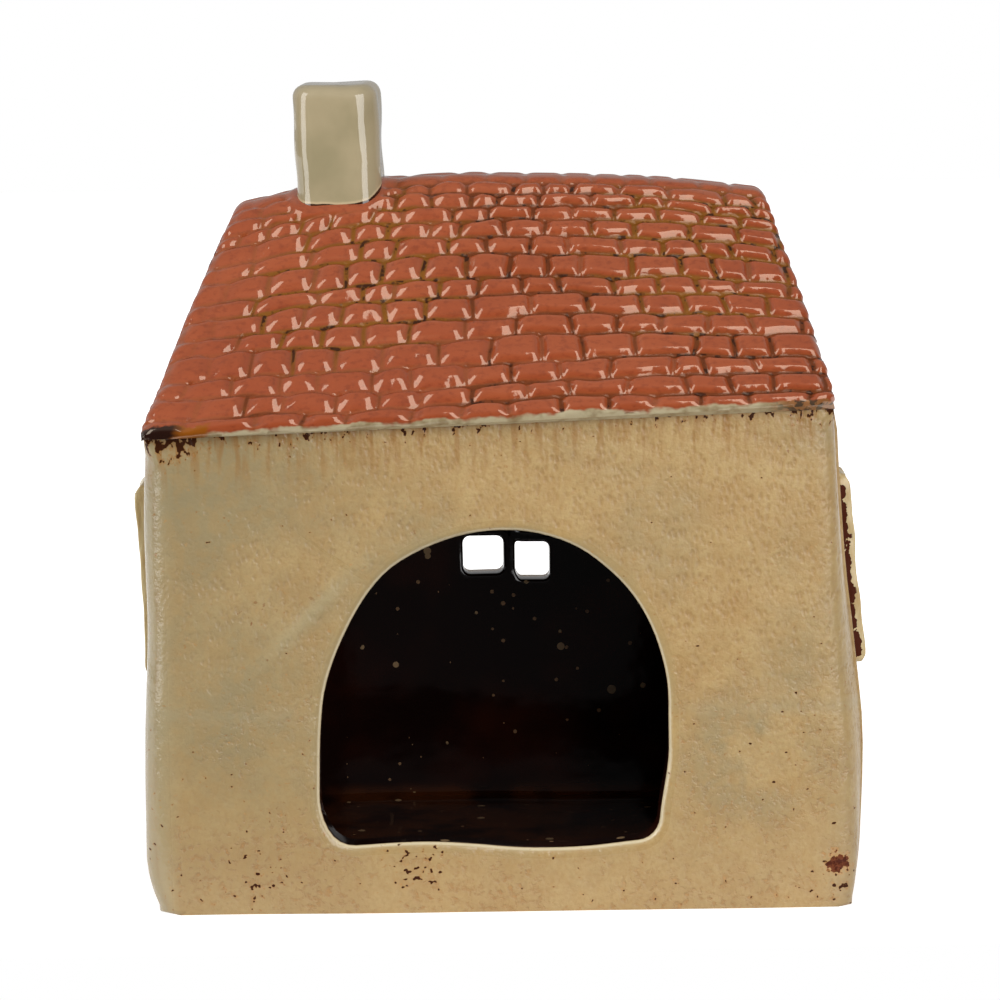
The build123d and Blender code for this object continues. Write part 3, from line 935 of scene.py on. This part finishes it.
# %% [markdown]
# ## Short words for glazes
# A glaze is a recipe of nodes: soft clouds of colour, thresholds that turn a cloud into spots or streaks,
# and blends between two colours. These few helpers give each of them one word, so that a recipe below reads
# like a list of what the potter did. Every cloud is placed by Object coordinates, which are metres here, so
# a size in a recipe is a real size.

# %% Words for the recipes
def tone(red, green, blue):
    """A colour as an eye reads it off, 0 to 255, turned into the light values that a shader needs."""
    def light(c):
        c /= 255
        return c / 12.92 if c <= 0.04045 else ((c + 0.055) / 1.055) ** 2.4
    return light(red), light(green), light(blue), 1.0


class Recipe:
    def __init__(self, glaze, shader="Principled BSDF", placed_by="Object"):
        self.glaze = glaze
        self.glaze.use_nodes = True
        self.tree = self.glaze.node_tree
        self.shader = self.tree.nodes[shader]
        self.place = self.put("ShaderNodeTexCoord").outputs[placed_by]
        self.x, self.y, self.z = self.put("ShaderNodeSeparateXYZ", {0: self.place}).outputs

    def put(self, kind, sockets=None, **settings):
        node = self.tree.nodes.new(kind)
        for key, value in settings.items():
            setattr(node, key, value)
        for key, value in (sockets or {}).items():
            if isinstance(value, bpy.types.NodeSocket):
                self.tree.links.new(value, node.inputs[key])
            else:
                node.inputs[key].default_value = value
        return node

    def marked(self, name):
        return self.put("ShaderNodeAttribute", attribute_name=name).outputs["Fac"]

    def cloud(self, size, detail=3, stretch=(1, 1, 1), start=(0, 0, 0), rough=0.55):
        """Soft noise from 0 to 1 whose patches are about size metres wide."""
        scaled = self.put("ShaderNodeMapping", {"Vector": self.place, "Location": start,
                                                "Scale": [1 / (size * s) for s in stretch]}).outputs[0]
        return self.put("ShaderNodeTexNoise", {"Vector": scaled, "Scale": 1, "Detail": detail,
                                               "Roughness": rough}).outputs["Fac"]

    def step(self, value, low, high):
        return self.put("ShaderNodeMapRange", {0: value, 1: low, 2: high}, interpolation_type="SMOOTHSTEP").outputs[0]

    def sum(self, first, second):
        return self.put("ShaderNodeMath", {0: first, 1: second}, operation="ADD").outputs[0]

    def times(self, first, second):
        return self.put("ShaderNodeMath", {0: first, 1: second}, operation="MULTIPLY").outputs[0]

    def less(self, first, second):
        return self.put("ShaderNodeMath", {0: first, 1: second}, operation="SUBTRACT").outputs[0]

    def more_of(self, first, second):
        return self.put("ShaderNodeMath", {0: first, 1: second}, operation="MAXIMUM").outputs[0]

    def blend(self, share, first, second):
        return self.put("ShaderNodeMix", {0: share, 6: first, 7: second}, data_type="RGBA").outputs[2]

    def between(self, share, first, second):
        return self.put("ShaderNodeMix", {0: share, 2: first, 3: second}).outputs[0]

    def spots(self, spacing, chance, largest, start=(0, 0, 0)):
        """Round dots of uneven size, one in some of the cells of a grid that is spacing metres wide."""
        moved = self.put("ShaderNodeMapping", {"Vector": self.place, "Location": start}).outputs[0]
        cells = self.put("ShaderNodeTexVoronoi", {"Vector": moved, "Scale": 1 / spacing, "Randomness": 0.9})
        number = self.put("ShaderNodeSeparateColor", {0: cells.outputs["Color"]}).outputs
        size = self.times(self.step(number[0], 1 - chance, 1.0), largest / spacing)
        return self.step(self.less(cells.outputs["Distance"], size), 0.01, -0.02)

    def prints(self, across, tall):
        """Rows of short upright prints, 1 in the middle of each."""
        scaled = self.put("ShaderNodeMapping", {"Vector": self.place, "Scale": (1 / across, 1 / across, 1 / tall)}).outputs[0]
        cells = self.put("ShaderNodeTexVoronoi", {"Vector": scaled, "Scale": 1, "Randomness": 1.0})
        return self.step(cells.outputs["Distance"], 0.60, 0.12)

    def near(self, x, y, z, reach):
        """1 at a place on the house and 0 further than reach from it, all in millimetres."""
        away = self.put("ShaderNodeVectorMath", {0: self.place, 1: (x * mm, y * mm, z * mm)}, operation="DISTANCE")
        return self.step(away.outputs["Value"], reach * mm, 0)

    def bumps(self, height, depth):
        """Raises the surface by a height map that is depth metres deep."""
        return self.put("ShaderNodeBump", {"Height": height, "Distance": depth, "Strength": 1.0}).outputs[0]

    def pour(self, colour, roughness, normal=None, bending=1.5, dull=None):
        """Joins everything to the shader; bending is how strongly the glaze bends light, and so how bright it
        shines, and dull is where it hardly shines at all."""
        self.tree.links.new(colour, self.shader.inputs["Base Color"])
        if dull is not None:
            self.tree.links.new(self.between(dull, 0.5, 0.1), self.shader.inputs["Specular IOR Level"])
        self.shader.inputs["IOR"].default_value = bending
        if isinstance(roughness, bpy.types.NodeSocket):
            self.tree.links.new(roughness, self.shader.inputs["Roughness"])
        else:
            self.shader.inputs["Roughness"].default_value = roughness
        if normal is not None:
            self.tree.links.new(normal, self.shader.inputs["Normal"])
        print(self.glaze.name, "uses", len(self.tree.nodes), "nodes")
        return self.glaze


print("cream, as light:", [round(v, 3) for v in tone(192, 164, 113)])

# %% [markdown]
# ## The dark glaze inside
# The inside is poured full of a brown-black glaze and emptied again. It is glossy, amber where it is thin,
# and pale pin spots have come up through it, the largest about 1.5 mm. Walls, floor and roof all show it,
# so its colour is made by one function that each recipe calls.

# %% The inside glaze
def dark_inside(recipe):
    thin = recipe.step(recipe.cloud(0.030, 3), 0.50, 0.75)
    dark = recipe.blend(thin, tone(20, 7, 5), tone(46, 17, 8))
    at_floor = recipe.times(recipe.step(recipe.z, 0.0105, 0.0075), recipe.step(recipe.cloud(0.012, 2), 0.35, 0.6))
    dark = recipe.blend(recipe.times(at_floor, 0.8), dark, tone(70, 34, 12))
    big = recipe.spots(0.0036, 0.30, 0.0010)
    small = recipe.spots(0.0023, 0.20, 0.0005, start=(0.003, 0.004, 0.001))
    dotted = recipe.blend(recipe.times(big, 0.85), dark, tone(156, 128, 94))
    return recipe.blend(recipe.times(small, 0.8), dotted, tone(140, 108, 78))


recipe = Recipe(bpy.data.materials.new("inside_glaze_dark"))
ripple = recipe.cloud(0.014, 2)
floor_glaze = recipe.pour(dark_inside(recipe), 0.12, recipe.bumps(ripple, 0.0002))
floor_slab.data.materials.append(floor_glaze)

# %% [markdown]
# ## The wall glaze
# The walls wear a cream glaze over the print of the canvas they were rolled on: rows of short dashes, about
# 1.3 mm apart. Where the glaze is thick, at the corners, round the mouth and in soft patches, it is a pale
# grey-green and covers the print. Iron comes through as rust specks and as runs under the eave.

# %% The wall glaze
recipe = Recipe(bpy.data.materials.new("wall_glaze_cream"))
wide_cloud, mid_cloud = recipe.cloud(0.034, 3), recipe.cloud(0.013, 3, start=(0.3, 0.1, 0.7))
leftward = recipe.step(recipe.x, 0.03, -0.07)
to_end = recipe.put("ShaderNodeMath", {0: recipe.x}, operation="ABSOLUTE").outputs[0]
to_long_side = recipe.put("ShaderNodeMath", {0: recipe.y}, operation="ABSOLUTE").outputs[0]
corner_band = recipe.more_of(recipe.step(recipe.x, -0.0640, -0.0695), recipe.times(recipe.step(recipe.x, 0.0640, 0.0705), 0.4))
corner_band = recipe.times(corner_band, recipe.step(to_long_side, 0.034, 0.040))
lip, halo, inside, below_roof = (recipe.marked(name) for name in ("lip", "halo", "inside", "below_roof"))
small_cloud = recipe.cloud(0.0036, 3, start=(0.6, 0.4, 0.2))
thick = recipe.sum(recipe.sum(recipe.times(wide_cloud, 1.0), recipe.times(mid_cloud, 0.3)), recipe.times(leftward, 0.22))
thick = recipe.step(thick, 0.54, 1.14)
thick = recipe.times(thick, recipe.between(recipe.step(recipe.z, 0.014, 0.040), 0.35, 1.0))
thick = recipe.more_of(thick, recipe.times(recipe.near(51, -42, 32, 24), recipe.step(mid_cloud, 0.36, 0.62)))
covered = recipe.more_of(recipe.more_of(recipe.times(thick, 0.8), corner_band), halo)
upper_part = recipe.between(recipe.step(recipe.z, 0.030, 0.062), 0.3, 1.0)
crease = recipe.sum(recipe.times(recipe.less(recipe.x, recipe.z), 0.7071), 0.0704)
crease = recipe.put("ShaderNodeMath", {0: crease}, operation="ABSOLUTE").outputs[0]
crease = recipe.times(recipe.step(crease, 0.0030, 0.0), recipe.near(-38, -42.5, 61.5, 25))
dash = recipe.times(recipe.prints(0.0011, 0.0018), recipe.step(covered, 1.0, 0.2))
dash = recipe.times(dash, recipe.step(small_cloud, 0.30, 0.58))
grain = recipe.cloud(0.0008, 2, start=(0.2, 0.7, 0.4))
fleck_cloud = recipe.cloud(0.0013, 3, start=(0.5, 0.2, 0.9))
fleck = recipe.times(recipe.step(fleck_cloud, 0.48, 0.68), recipe.step(recipe.sum(mid_cloud, recipe.times(covered, -0.3)), 0.26, 0.55))
cream = recipe.blend(recipe.step(mid_cloud, 0.3, 0.7), tone(192, 163, 111), tone(182, 150, 98))
cream = recipe.blend(recipe.times(recipe.step(small_cloud, 0.42, 0.72), 0.4), cream, tone(172, 136, 85))
cream = recipe.blend(recipe.times(recipe.step(grain, 0.35, 0.75), 0.42), cream, tone(164, 128, 78))
cream = recipe.blend(recipe.times(recipe.times(dash, upper_part), 0.42), cream, tone(154, 116, 66))
low_fleck = recipe.times(fleck, recipe.less(1.2, upper_part))
cream = recipe.blend(recipe.times(low_fleck, recipe.between(leftward, 0.62, 1.0)), cream, tone(162, 112, 54))
body = recipe.blend(recipe.times(thick, 0.85), cream, tone(150, 140, 109))
warm_cloud = recipe.cloud(0.0024, 3, start=(0.9, 0.3, 0.6))
body = recipe.blend(recipe.times(recipe.step(warm_cloud, 0.42, 0.62), 0.26), body, tone(180, 143, 88))
# Painted shade: the left part of the walls is darkened, as less light falls on that side.
body = recipe.blend(recipe.times(recipe.step(recipe.x, 0.0, -0.06), 0.22), body, tone(140, 122, 86))
body = recipe.blend(recipe.times(recipe.step(recipe.z, 0.040, 0.005), 0.26), body, tone(140, 116, 78))
body = recipe.blend(recipe.times(crease, 0.5), body, tone(172, 160, 124))
body = recipe.blend(recipe.times(corner_band, 0.6), body, tone(164, 152, 120))
body = recipe.blend(recipe.times(recipe.times(halo, recipe.step(mid_cloud, 0.35, 0.6)), 0.4), body, tone(174, 156, 116))
dip_height = recipe.sum(recipe.z, recipe.times(mid_cloud, 0.005))
dip_line = recipe.times(recipe.step(dip_height, 0.0415, 0.0440), recipe.step(dip_height, 0.0465, 0.0440))
dip_line = recipe.times(dip_line, recipe.step(to_end, 0.034, 0.044))
body = recipe.blend(recipe.times(dip_line, 0.24), body, tone(166, 154, 122))
thumb = recipe.times(recipe.near(-28.6, -42.5, 94.5, 4.4), recipe.less(1.0, recipe.near(-28.6, -42.5, 94.5, 2.6)))
body = recipe.blend(recipe.times(thumb, 0.8), body, tone(150, 116, 68))
body = recipe.blend(lip, body, tone(224, 208, 172))
rust_zone = recipe.step(recipe.cloud(0.020, 2, start=(0.7, 0.2, 0.4)), 0.62, 0.72)
speck = recipe.step(recipe.cloud(0.0012, 2, start=(0.1, 0.5, 0.2)), 0.64, 0.70)
body = recipe.blend(recipe.times(recipe.times(rust_zone, speck), 0.75), body, tone(128, 76, 34))
pit_cloud = recipe.cloud(0.0013, 1, stretch=(1, 1, 0.8), start=(0.2, 0.1, 0.4))
pitted = recipe.more_of(recipe.near(-50, -42.5, 7, 11), recipe.near(-16, -42.5, 10, 13))
pitted = recipe.more_of(pitted, recipe.near(67, -42.5, 5, 11))
pit_share = recipe.sum(pit_cloud, recipe.times(pitted, 0.12))
pit_share = recipe.less(pit_share, recipe.times(upper_part, 0.06))
body = recipe.blend(recipe.times(recipe.step(pit_share, 0.66, 0.74), 0.5), body, tone(166, 114, 58))
pit_share = recipe.step(pit_share, 0.735, 0.765)
body = recipe.blend(pit_share, body, tone(58, 25, 8))
rusty = recipe.sum(recipe.near(68.6, -42, 9, 4.6), recipe.times(recipe.less(fleck_cloud, 0.5), 1.8))
body = recipe.blend(recipe.times(recipe.step(rusty, 0.28, 0.56), 0.6), body, tone(190, 140, 82))
rust_tone = recipe.blend(recipe.step(grain, 0.4, 0.6), tone(76, 32, 16), tone(112, 59, 34))
body = recipe.blend(recipe.step(rusty, 0.54, 0.64), body, rust_tone)
run_cloud = recipe.cloud(0.0017, 2, stretch=(1, 1, 8))
runs = recipe.times(recipe.step(run_cloud, 0.46, 0.66), recipe.step(below_roof, 15, 0))
body = recipe.blend(recipe.times(runs, 0.65), body, tone(150, 104, 48))
burn_cloud = recipe.cloud(0.0012, 2, stretch=(1, 1, 1.5), start=(0.4, 0.8, 0.1))
at_eave_ends = recipe.more_of(recipe.near(-66, -42, 96, 12), recipe.near(66, -42, 101, 9))
burn_cloud = recipe.sum(burn_cloud, recipe.times(at_eave_ends, 0.16))
burn_cloud = recipe.less(burn_cloud, recipe.times(below_roof, 0.045))
body = recipe.blend(recipe.times(recipe.step(burn_cloud, 0.48, 0.57), 0.55), body, tone(166, 112, 52))
burnt = recipe.step(burn_cloud, 0.56, 0.60)
body = recipe.blend(burnt, body, tone(62, 30, 12))
brown_edge = recipe.times(recipe.step(inside, 0.02, 0.4), recipe.step(mid_cloud, 0.35, 0.6))
body = recipe.blend(recipe.times(brown_edge, 0.6), body, tone(128, 74, 32))
body = recipe.blend(recipe.step(inside, 0.25, 0.85), body, dark_inside(recipe))
weave = recipe.sum(recipe.times(recipe.times(dash, upper_part), -0.24), recipe.times(small_cloud, -0.5))
weave = recipe.sum(weave, recipe.times(crease, 0.8))
weave = recipe.sum(weave, recipe.sum(recipe.times(grain, -0.26), recipe.times(low_fleck, -0.35)))
swells = recipe.times(recipe.cloud(0.010, 2), recipe.between(inside, 0.9, 0.35))
relief = recipe.sum(recipe.times(weave, recipe.less(1.0, inside)), swells)
gloss = recipe.between(covered, 0.40, 0.15)
gloss = recipe.between(inside, recipe.more_of(gloss, recipe.times(recipe.more_of(pit_share, dash), 0.5)), 0.10)
specks = recipe.more_of(recipe.more_of(pit_share, burnt), recipe.step(rusty, 0.54, 0.64))
specks = recipe.times(specks, recipe.less(1.0, inside))
wall_glaze = recipe.pour(body, gloss, recipe.bumps(relief, 0.0004), dull=specks)
for piece in (arch_wall, door_wall, left_gable, right_gable):
    piece.data.materials.append(wall_glaze)

# %% [markdown]
# ## The roof glaze
# A glossy terracotta red. It draws back from the tiles' edges, which turn light orange, and runs into the
# grooves, where it is dark brown or, in places, amber. At the eave it stops short: a pale roll shows under
# it, and at the left corner bare burnt clay.

# %% The roof glaze
recipe = Recipe(bpy.data.materials.new("roof_glaze_red"))
groove, crest, eave_gap, under = (recipe.marked(name) for name in ("groove", "crest", "eave", "under"))
patches, fine = recipe.cloud(0.024, 3), recipe.cloud(0.0045, 3, start=(0.2, 0.6, 0.3))
red = recipe.blend(recipe.step(patches, 0.3, 0.7), tone(157, 73, 41), tone(165, 81, 47))
red = recipe.blend(recipe.times(recipe.step(fine, 0.45, 0.75), 0.35), red, tone(142, 62, 35))
mottle = recipe.step(recipe.cloud(0.0010, 3, stretch=(1.6, 1, 1), start=(0.8, 0.5, 0.1)), 0.48, 0.70)
red = recipe.blend(recipe.times(mottle, 0.5), red, tone(126, 55, 32))
pale_zone = recipe.step(recipe.cloud(0.022, 2, start=(0.1, 0.9, 0.6)), 0.52, 0.70)
red = recipe.blend(recipe.times(recipe.times(crest, recipe.between(pale_zone, 0.35, 1.0)), 0.35), red, tone(186, 112, 76))
amber_zone = recipe.more_of(recipe.near(-30, -20, 128, 38), recipe.near(44, -15, 132, 36))
amber_zone = recipe.step(recipe.sum(amber_zone, recipe.times(recipe.less(fine, 0.5), 1.2)), 0.1, 0.55)
groove_share = recipe.step(groove, 0.42, 0.85)
red = recipe.blend(recipe.times(recipe.step(groove, 0.05, 0.5), recipe.between(amber_zone, 0.3, 0.6)), red, tone(132, 76, 34))
groove_tone = recipe.blend(amber_zone, tone(106, 52, 24), tone(130, 82, 24))
soot = recipe.step(recipe.cloud(0.0024, 2, start=(0.4, 0.4, 0.8)), 0.53, 0.63)
groove_tone = recipe.blend(recipe.times(soot, recipe.step(groove, 0.6, 0.9)), groove_tone, tone(36, 18, 10))
red = recipe.blend(recipe.times(groove_share, 0.9), red, groove_tone)
ragged = recipe.times(recipe.less(recipe.cloud(0.0034, 3), 0.5), 3.0)
left_of = recipe.sum(recipe.x, recipe.times(ragged, 0.0016))
far_left = recipe.times(recipe.step(left_of, -0.0565, -0.0580), recipe.step(recipe.y, 0.0, -0.01))
bare_here = recipe.step(recipe.sum(eave_gap, ragged), 2.3, 1.7)
bare = recipe.times(bare_here, far_left)
amber_end = recipe.sum(recipe.x, recipe.times(recipe.less(recipe.cloud(0.003, 2, stretch=(2.5, 1, 1)), 0.5), 0.012))
burnt_tone = recipe.blend(recipe.step(amber_end, -0.0655, -0.0610), tone(38, 16, 10), tone(146, 80, 16))
red = recipe.blend(bare, red, burnt_tone)
slow_edge = recipe.times(recipe.less(recipe.cloud(0.0060, 3, start=(0.3, 0.3, 0.3)), 0.5), 2.4)
roll = recipe.step(recipe.sum(eave_gap, slow_edge), 0.75, 0.3)
roll_tone = recipe.blend(recipe.step(fine, 0.45, 0.7), tone(194, 180, 146), tone(154, 134, 98))
far_right = recipe.step(recipe.sum(recipe.x, recipe.times(ragged, 0.0016)), 0.054, 0.060)
rust_tone = recipe.blend(recipe.step(recipe.cloud(0.0016, 2), 0.46, 0.54), tone(150, 92, 46), tone(58, 28, 14))
roll_tone = recipe.blend(recipe.times(far_right, 0.9), roll_tone, rust_tone)
red = recipe.blend(recipe.times(roll, recipe.less(1.0, far_left)), red, roll_tone)
red = recipe.blend(recipe.step(under, 0.8, 0.98), red, tone(34, 14, 10))
roof_relief = recipe.sum(recipe.times(recipe.cloud(0.0055, 2), 0.7), recipe.times(fine, 0.3))
roof_glaze = recipe.pour(red, recipe.between(groove_share, 0.07, 0.25), recipe.bumps(roof_relief, 0.00025), 1.76,
                         dull=recipe.times(groove_share, 0.8))
recipe.shader.inputs["Specular Tint"].default_value = (1, 0.84, 0.66, 1)
for piece in (roof_arch_slope, roof_door_slope):
    piece.data.materials.append(roof_glaze)

# %% [markdown]
# ## Chimney, shutters and door
# The chimney's glaze is a thick glossy grey-green that thins to cream on its edges, with a dark line where
# it meets the roof. The shutters are cream, brown in their scores, with painted shade next to the wall; the door is
# amber-brown.

# %% The smaller glazes
recipe = Recipe(bpy.data.materials.new("chimney_glaze_celadon"))
foot = recipe.marked("foot")
veil = recipe.cloud(0.012, 3)
grey = recipe.blend(recipe.step(veil, 0.35, 0.7), tone(174, 159, 126), tone(158, 146, 113))
thin_edge = recipe.put("ShaderNodeNewGeometry").outputs["Pointiness"]
grey = recipe.blend(recipe.times(recipe.step(thin_edge, 0.505, 0.54), 0.25), grey, tone(186, 168, 140))
above_roof = recipe.sum(foot, recipe.times(recipe.less(recipe.cloud(0.006, 2), 0.5), 2.0))
grey = recipe.blend(recipe.times(recipe.step(above_roof, 1.3, 0.8), 0.7), grey, tone(206, 184, 146))
grey = recipe.blend(recipe.step(above_roof, 0.60, 0.44), grey, tone(58, 28, 14))
chimney.data.materials.append(recipe.pour(grey, 0.07, recipe.bumps(recipe.cloud(0.010, 2), 0.0004), 1.65))

recipe = Recipe(bpy.data.materials.new("shutter_glaze_cream"))
rim = recipe.marked("rim")
grain = recipe.cloud(0.0016, 3, stretch=(1, 1, 5))
cream = recipe.blend(recipe.step(grain, 0.35, 0.7), tone(212, 192, 146), tone(192, 164, 112))
breaks = recipe.times(recipe.less(recipe.cloud(0.0018, 3), 0.5), 2.8)
# The brown is glaze in the scored grooves, and painted shade of the gap along the sides next to the wall.
rim_share = recipe.times(recipe.step(recipe.sum(rim, breaks), 0.52, 0.60), recipe.step(rim, 0.1, 0.3))
cream = recipe.blend(rim_share, cream, tone(74, 31, 14))
shutter_glaze = recipe.pour(cream, recipe.between(rim_share, 0.25, 0.6), recipe.bumps(grain, 0.0004), dull=rim_share)
for piece in shutters + [door_knob]:
    piece.data.materials.append(shutter_glaze)

recipe = Recipe(bpy.data.materials.new("door_glaze_amber"))
rim = recipe.marked("rim")
grain = recipe.cloud(0.0014, 3, stretch=(1, 1, 7))
amber = recipe.blend(recipe.step(grain, 0.35, 0.68), tone(128, 72, 32), tone(86, 44, 20))
rim_share = recipe.step(recipe.sum(rim, recipe.times(recipe.cloud(0.002, 3), 0.6)), 0.8, 1.3)
amber = recipe.blend(recipe.times(rim_share, 0.7), amber, tone(176, 122, 62))
front_door.data.materials.append(recipe.pour(amber, 0.16, recipe.bumps(grain, 0.0004)))

# %% [markdown]
# ## Studio and camera
# The photograph was taken between two tall softboxes, one on each side, on white paper. Their reflections
# are the bright corners of the tiles and the upright lines on the chimney. The camera stands far off with a
# long lens, a little above the house, and is tilted by less than a degree.

# %% Paper, light and air
paper = bmesh.new()
bmesh.ops.create_grid(paper, x_segments=1, y_segments=1, size=1)
bmesh.ops.scale(paper, vec=(1.3, 0.8, 1), verts=paper.verts)
bmesh.ops.translate(paper, vec=(0, 0.725, 0), verts=paper.verts)
paper_mesh = bpy.data.meshes.new("paper")
paper.to_mesh(paper_mesh)
paper.free()
paper_floor = bpy.data.objects.new("paper_floor", paper_mesh)
bpy.context.scene.collection.objects.link(paper_floor)
recipe = Recipe(bpy.data.materials.new("paper_white"))
recipe.shader.inputs["Base Color"].default_value = (0.86, 0.86, 0.86, 1)
recipe.shader.inputs["Roughness"].default_value = 0.9
recipe.shader.inputs["Emission Color"].default_value = (1, 1, 1, 1)
rays = recipe.put("ShaderNodeLightPath").outputs
seen = recipe.more_of(recipe.more_of(rays["Is Camera Ray"], rays["Is Glossy Ray"]), rays["Is Transmission Ray"])
far_off = recipe.less(1.0, recipe.near(0, 0, 0, 320))
glow = recipe.times(seen, recipe.between(far_off, 0.6, 1.0))
recipe.tree.links.new(glow, recipe.shader.inputs["Emission Strength"])
paper_floor.data.materials.append(recipe.glaze)

world = bpy.data.worlds.new("studio_air")
bpy.context.scene.world = world
air = Recipe(world, "Background", "Generated")
rays = air.put("ShaderNodeLightPath").outputs
behind = air.step(air.y, 0.15, 0.5)
room = air.between(behind, air.between(air.step(air.z, -0.1, 0.6), 0.05, 0.35), 0.5)
strength = air.between(rays["Is Glossy Ray"], air.between(behind, 0.20, 0.55), room)
strength = air.between(air.more_of(rays["Is Camera Ray"], rays["Is Transmission Ray"]), strength, 1.0)
air.tree.links.new(strength, air.shader.inputs["Strength"])
air.shader.inputs["Color"].default_value = (1, 1, 1, 1)


def softbox(name, place, target, wide, tall, watts):
    lamp = bpy.data.lights.new(name, "AREA")
    lamp.shape, lamp.size, lamp.size_y, lamp.energy = "RECTANGLE", wide, tall, watts
    box = bpy.data.objects.new(name, lamp)
    bpy.context.scene.collection.objects.link(box)
    box.location = place
    box.rotation_euler = (Vector(target) - Vector(place)).to_track_quat("-Z", "Y").to_euler()
    return box


def around(azimuth, elevation, distance):
    """A place round the house: azimuth 0 is the camera's side, and it grows to the right."""
    a, e = math.radians(azimuth), math.radians(elevation)
    return Vector((math.sin(a) * math.cos(e), -math.cos(a) * math.cos(e), math.sin(e))) * distance + middle


middle = Vector((0, 0, 0.08))
softbox("softbox_left", around(-60, 18, 1.0), middle, 0.56, 1.0, 6.4)
softbox("softbox_right", around(27, 18, 1.0), middle, 0.64, 1.0, 7.8)

# %% The camera
aim = Vector((1.0, -42.5, 84.9)) * mm
lift, distance, tilt = math.radians(9), 1.0, math.radians(-0.81)
camera = bpy.data.cameras.new("camera")
camera.lens, camera.sensor_width, camera.clip_start = 178.9, 36, 0.05
eye = bpy.data.objects.new("camera", camera)
bpy.context.scene.collection.objects.link(eye)
back = Vector((0, -math.cos(lift), math.sin(lift)))
turn = (-back).to_track_quat("-Z", "Y").to_matrix() @ Matrix.Rotation(tilt, 3, "Z")
eye.matrix_world = Matrix.Translation(aim + back * distance) @ turn.to_4x4()
bpy.context.scene.camera = eye
bpy.context.scene.view_settings.view_transform = "Standard"
print("camera at", [round(v, 3) for v in eye.location])
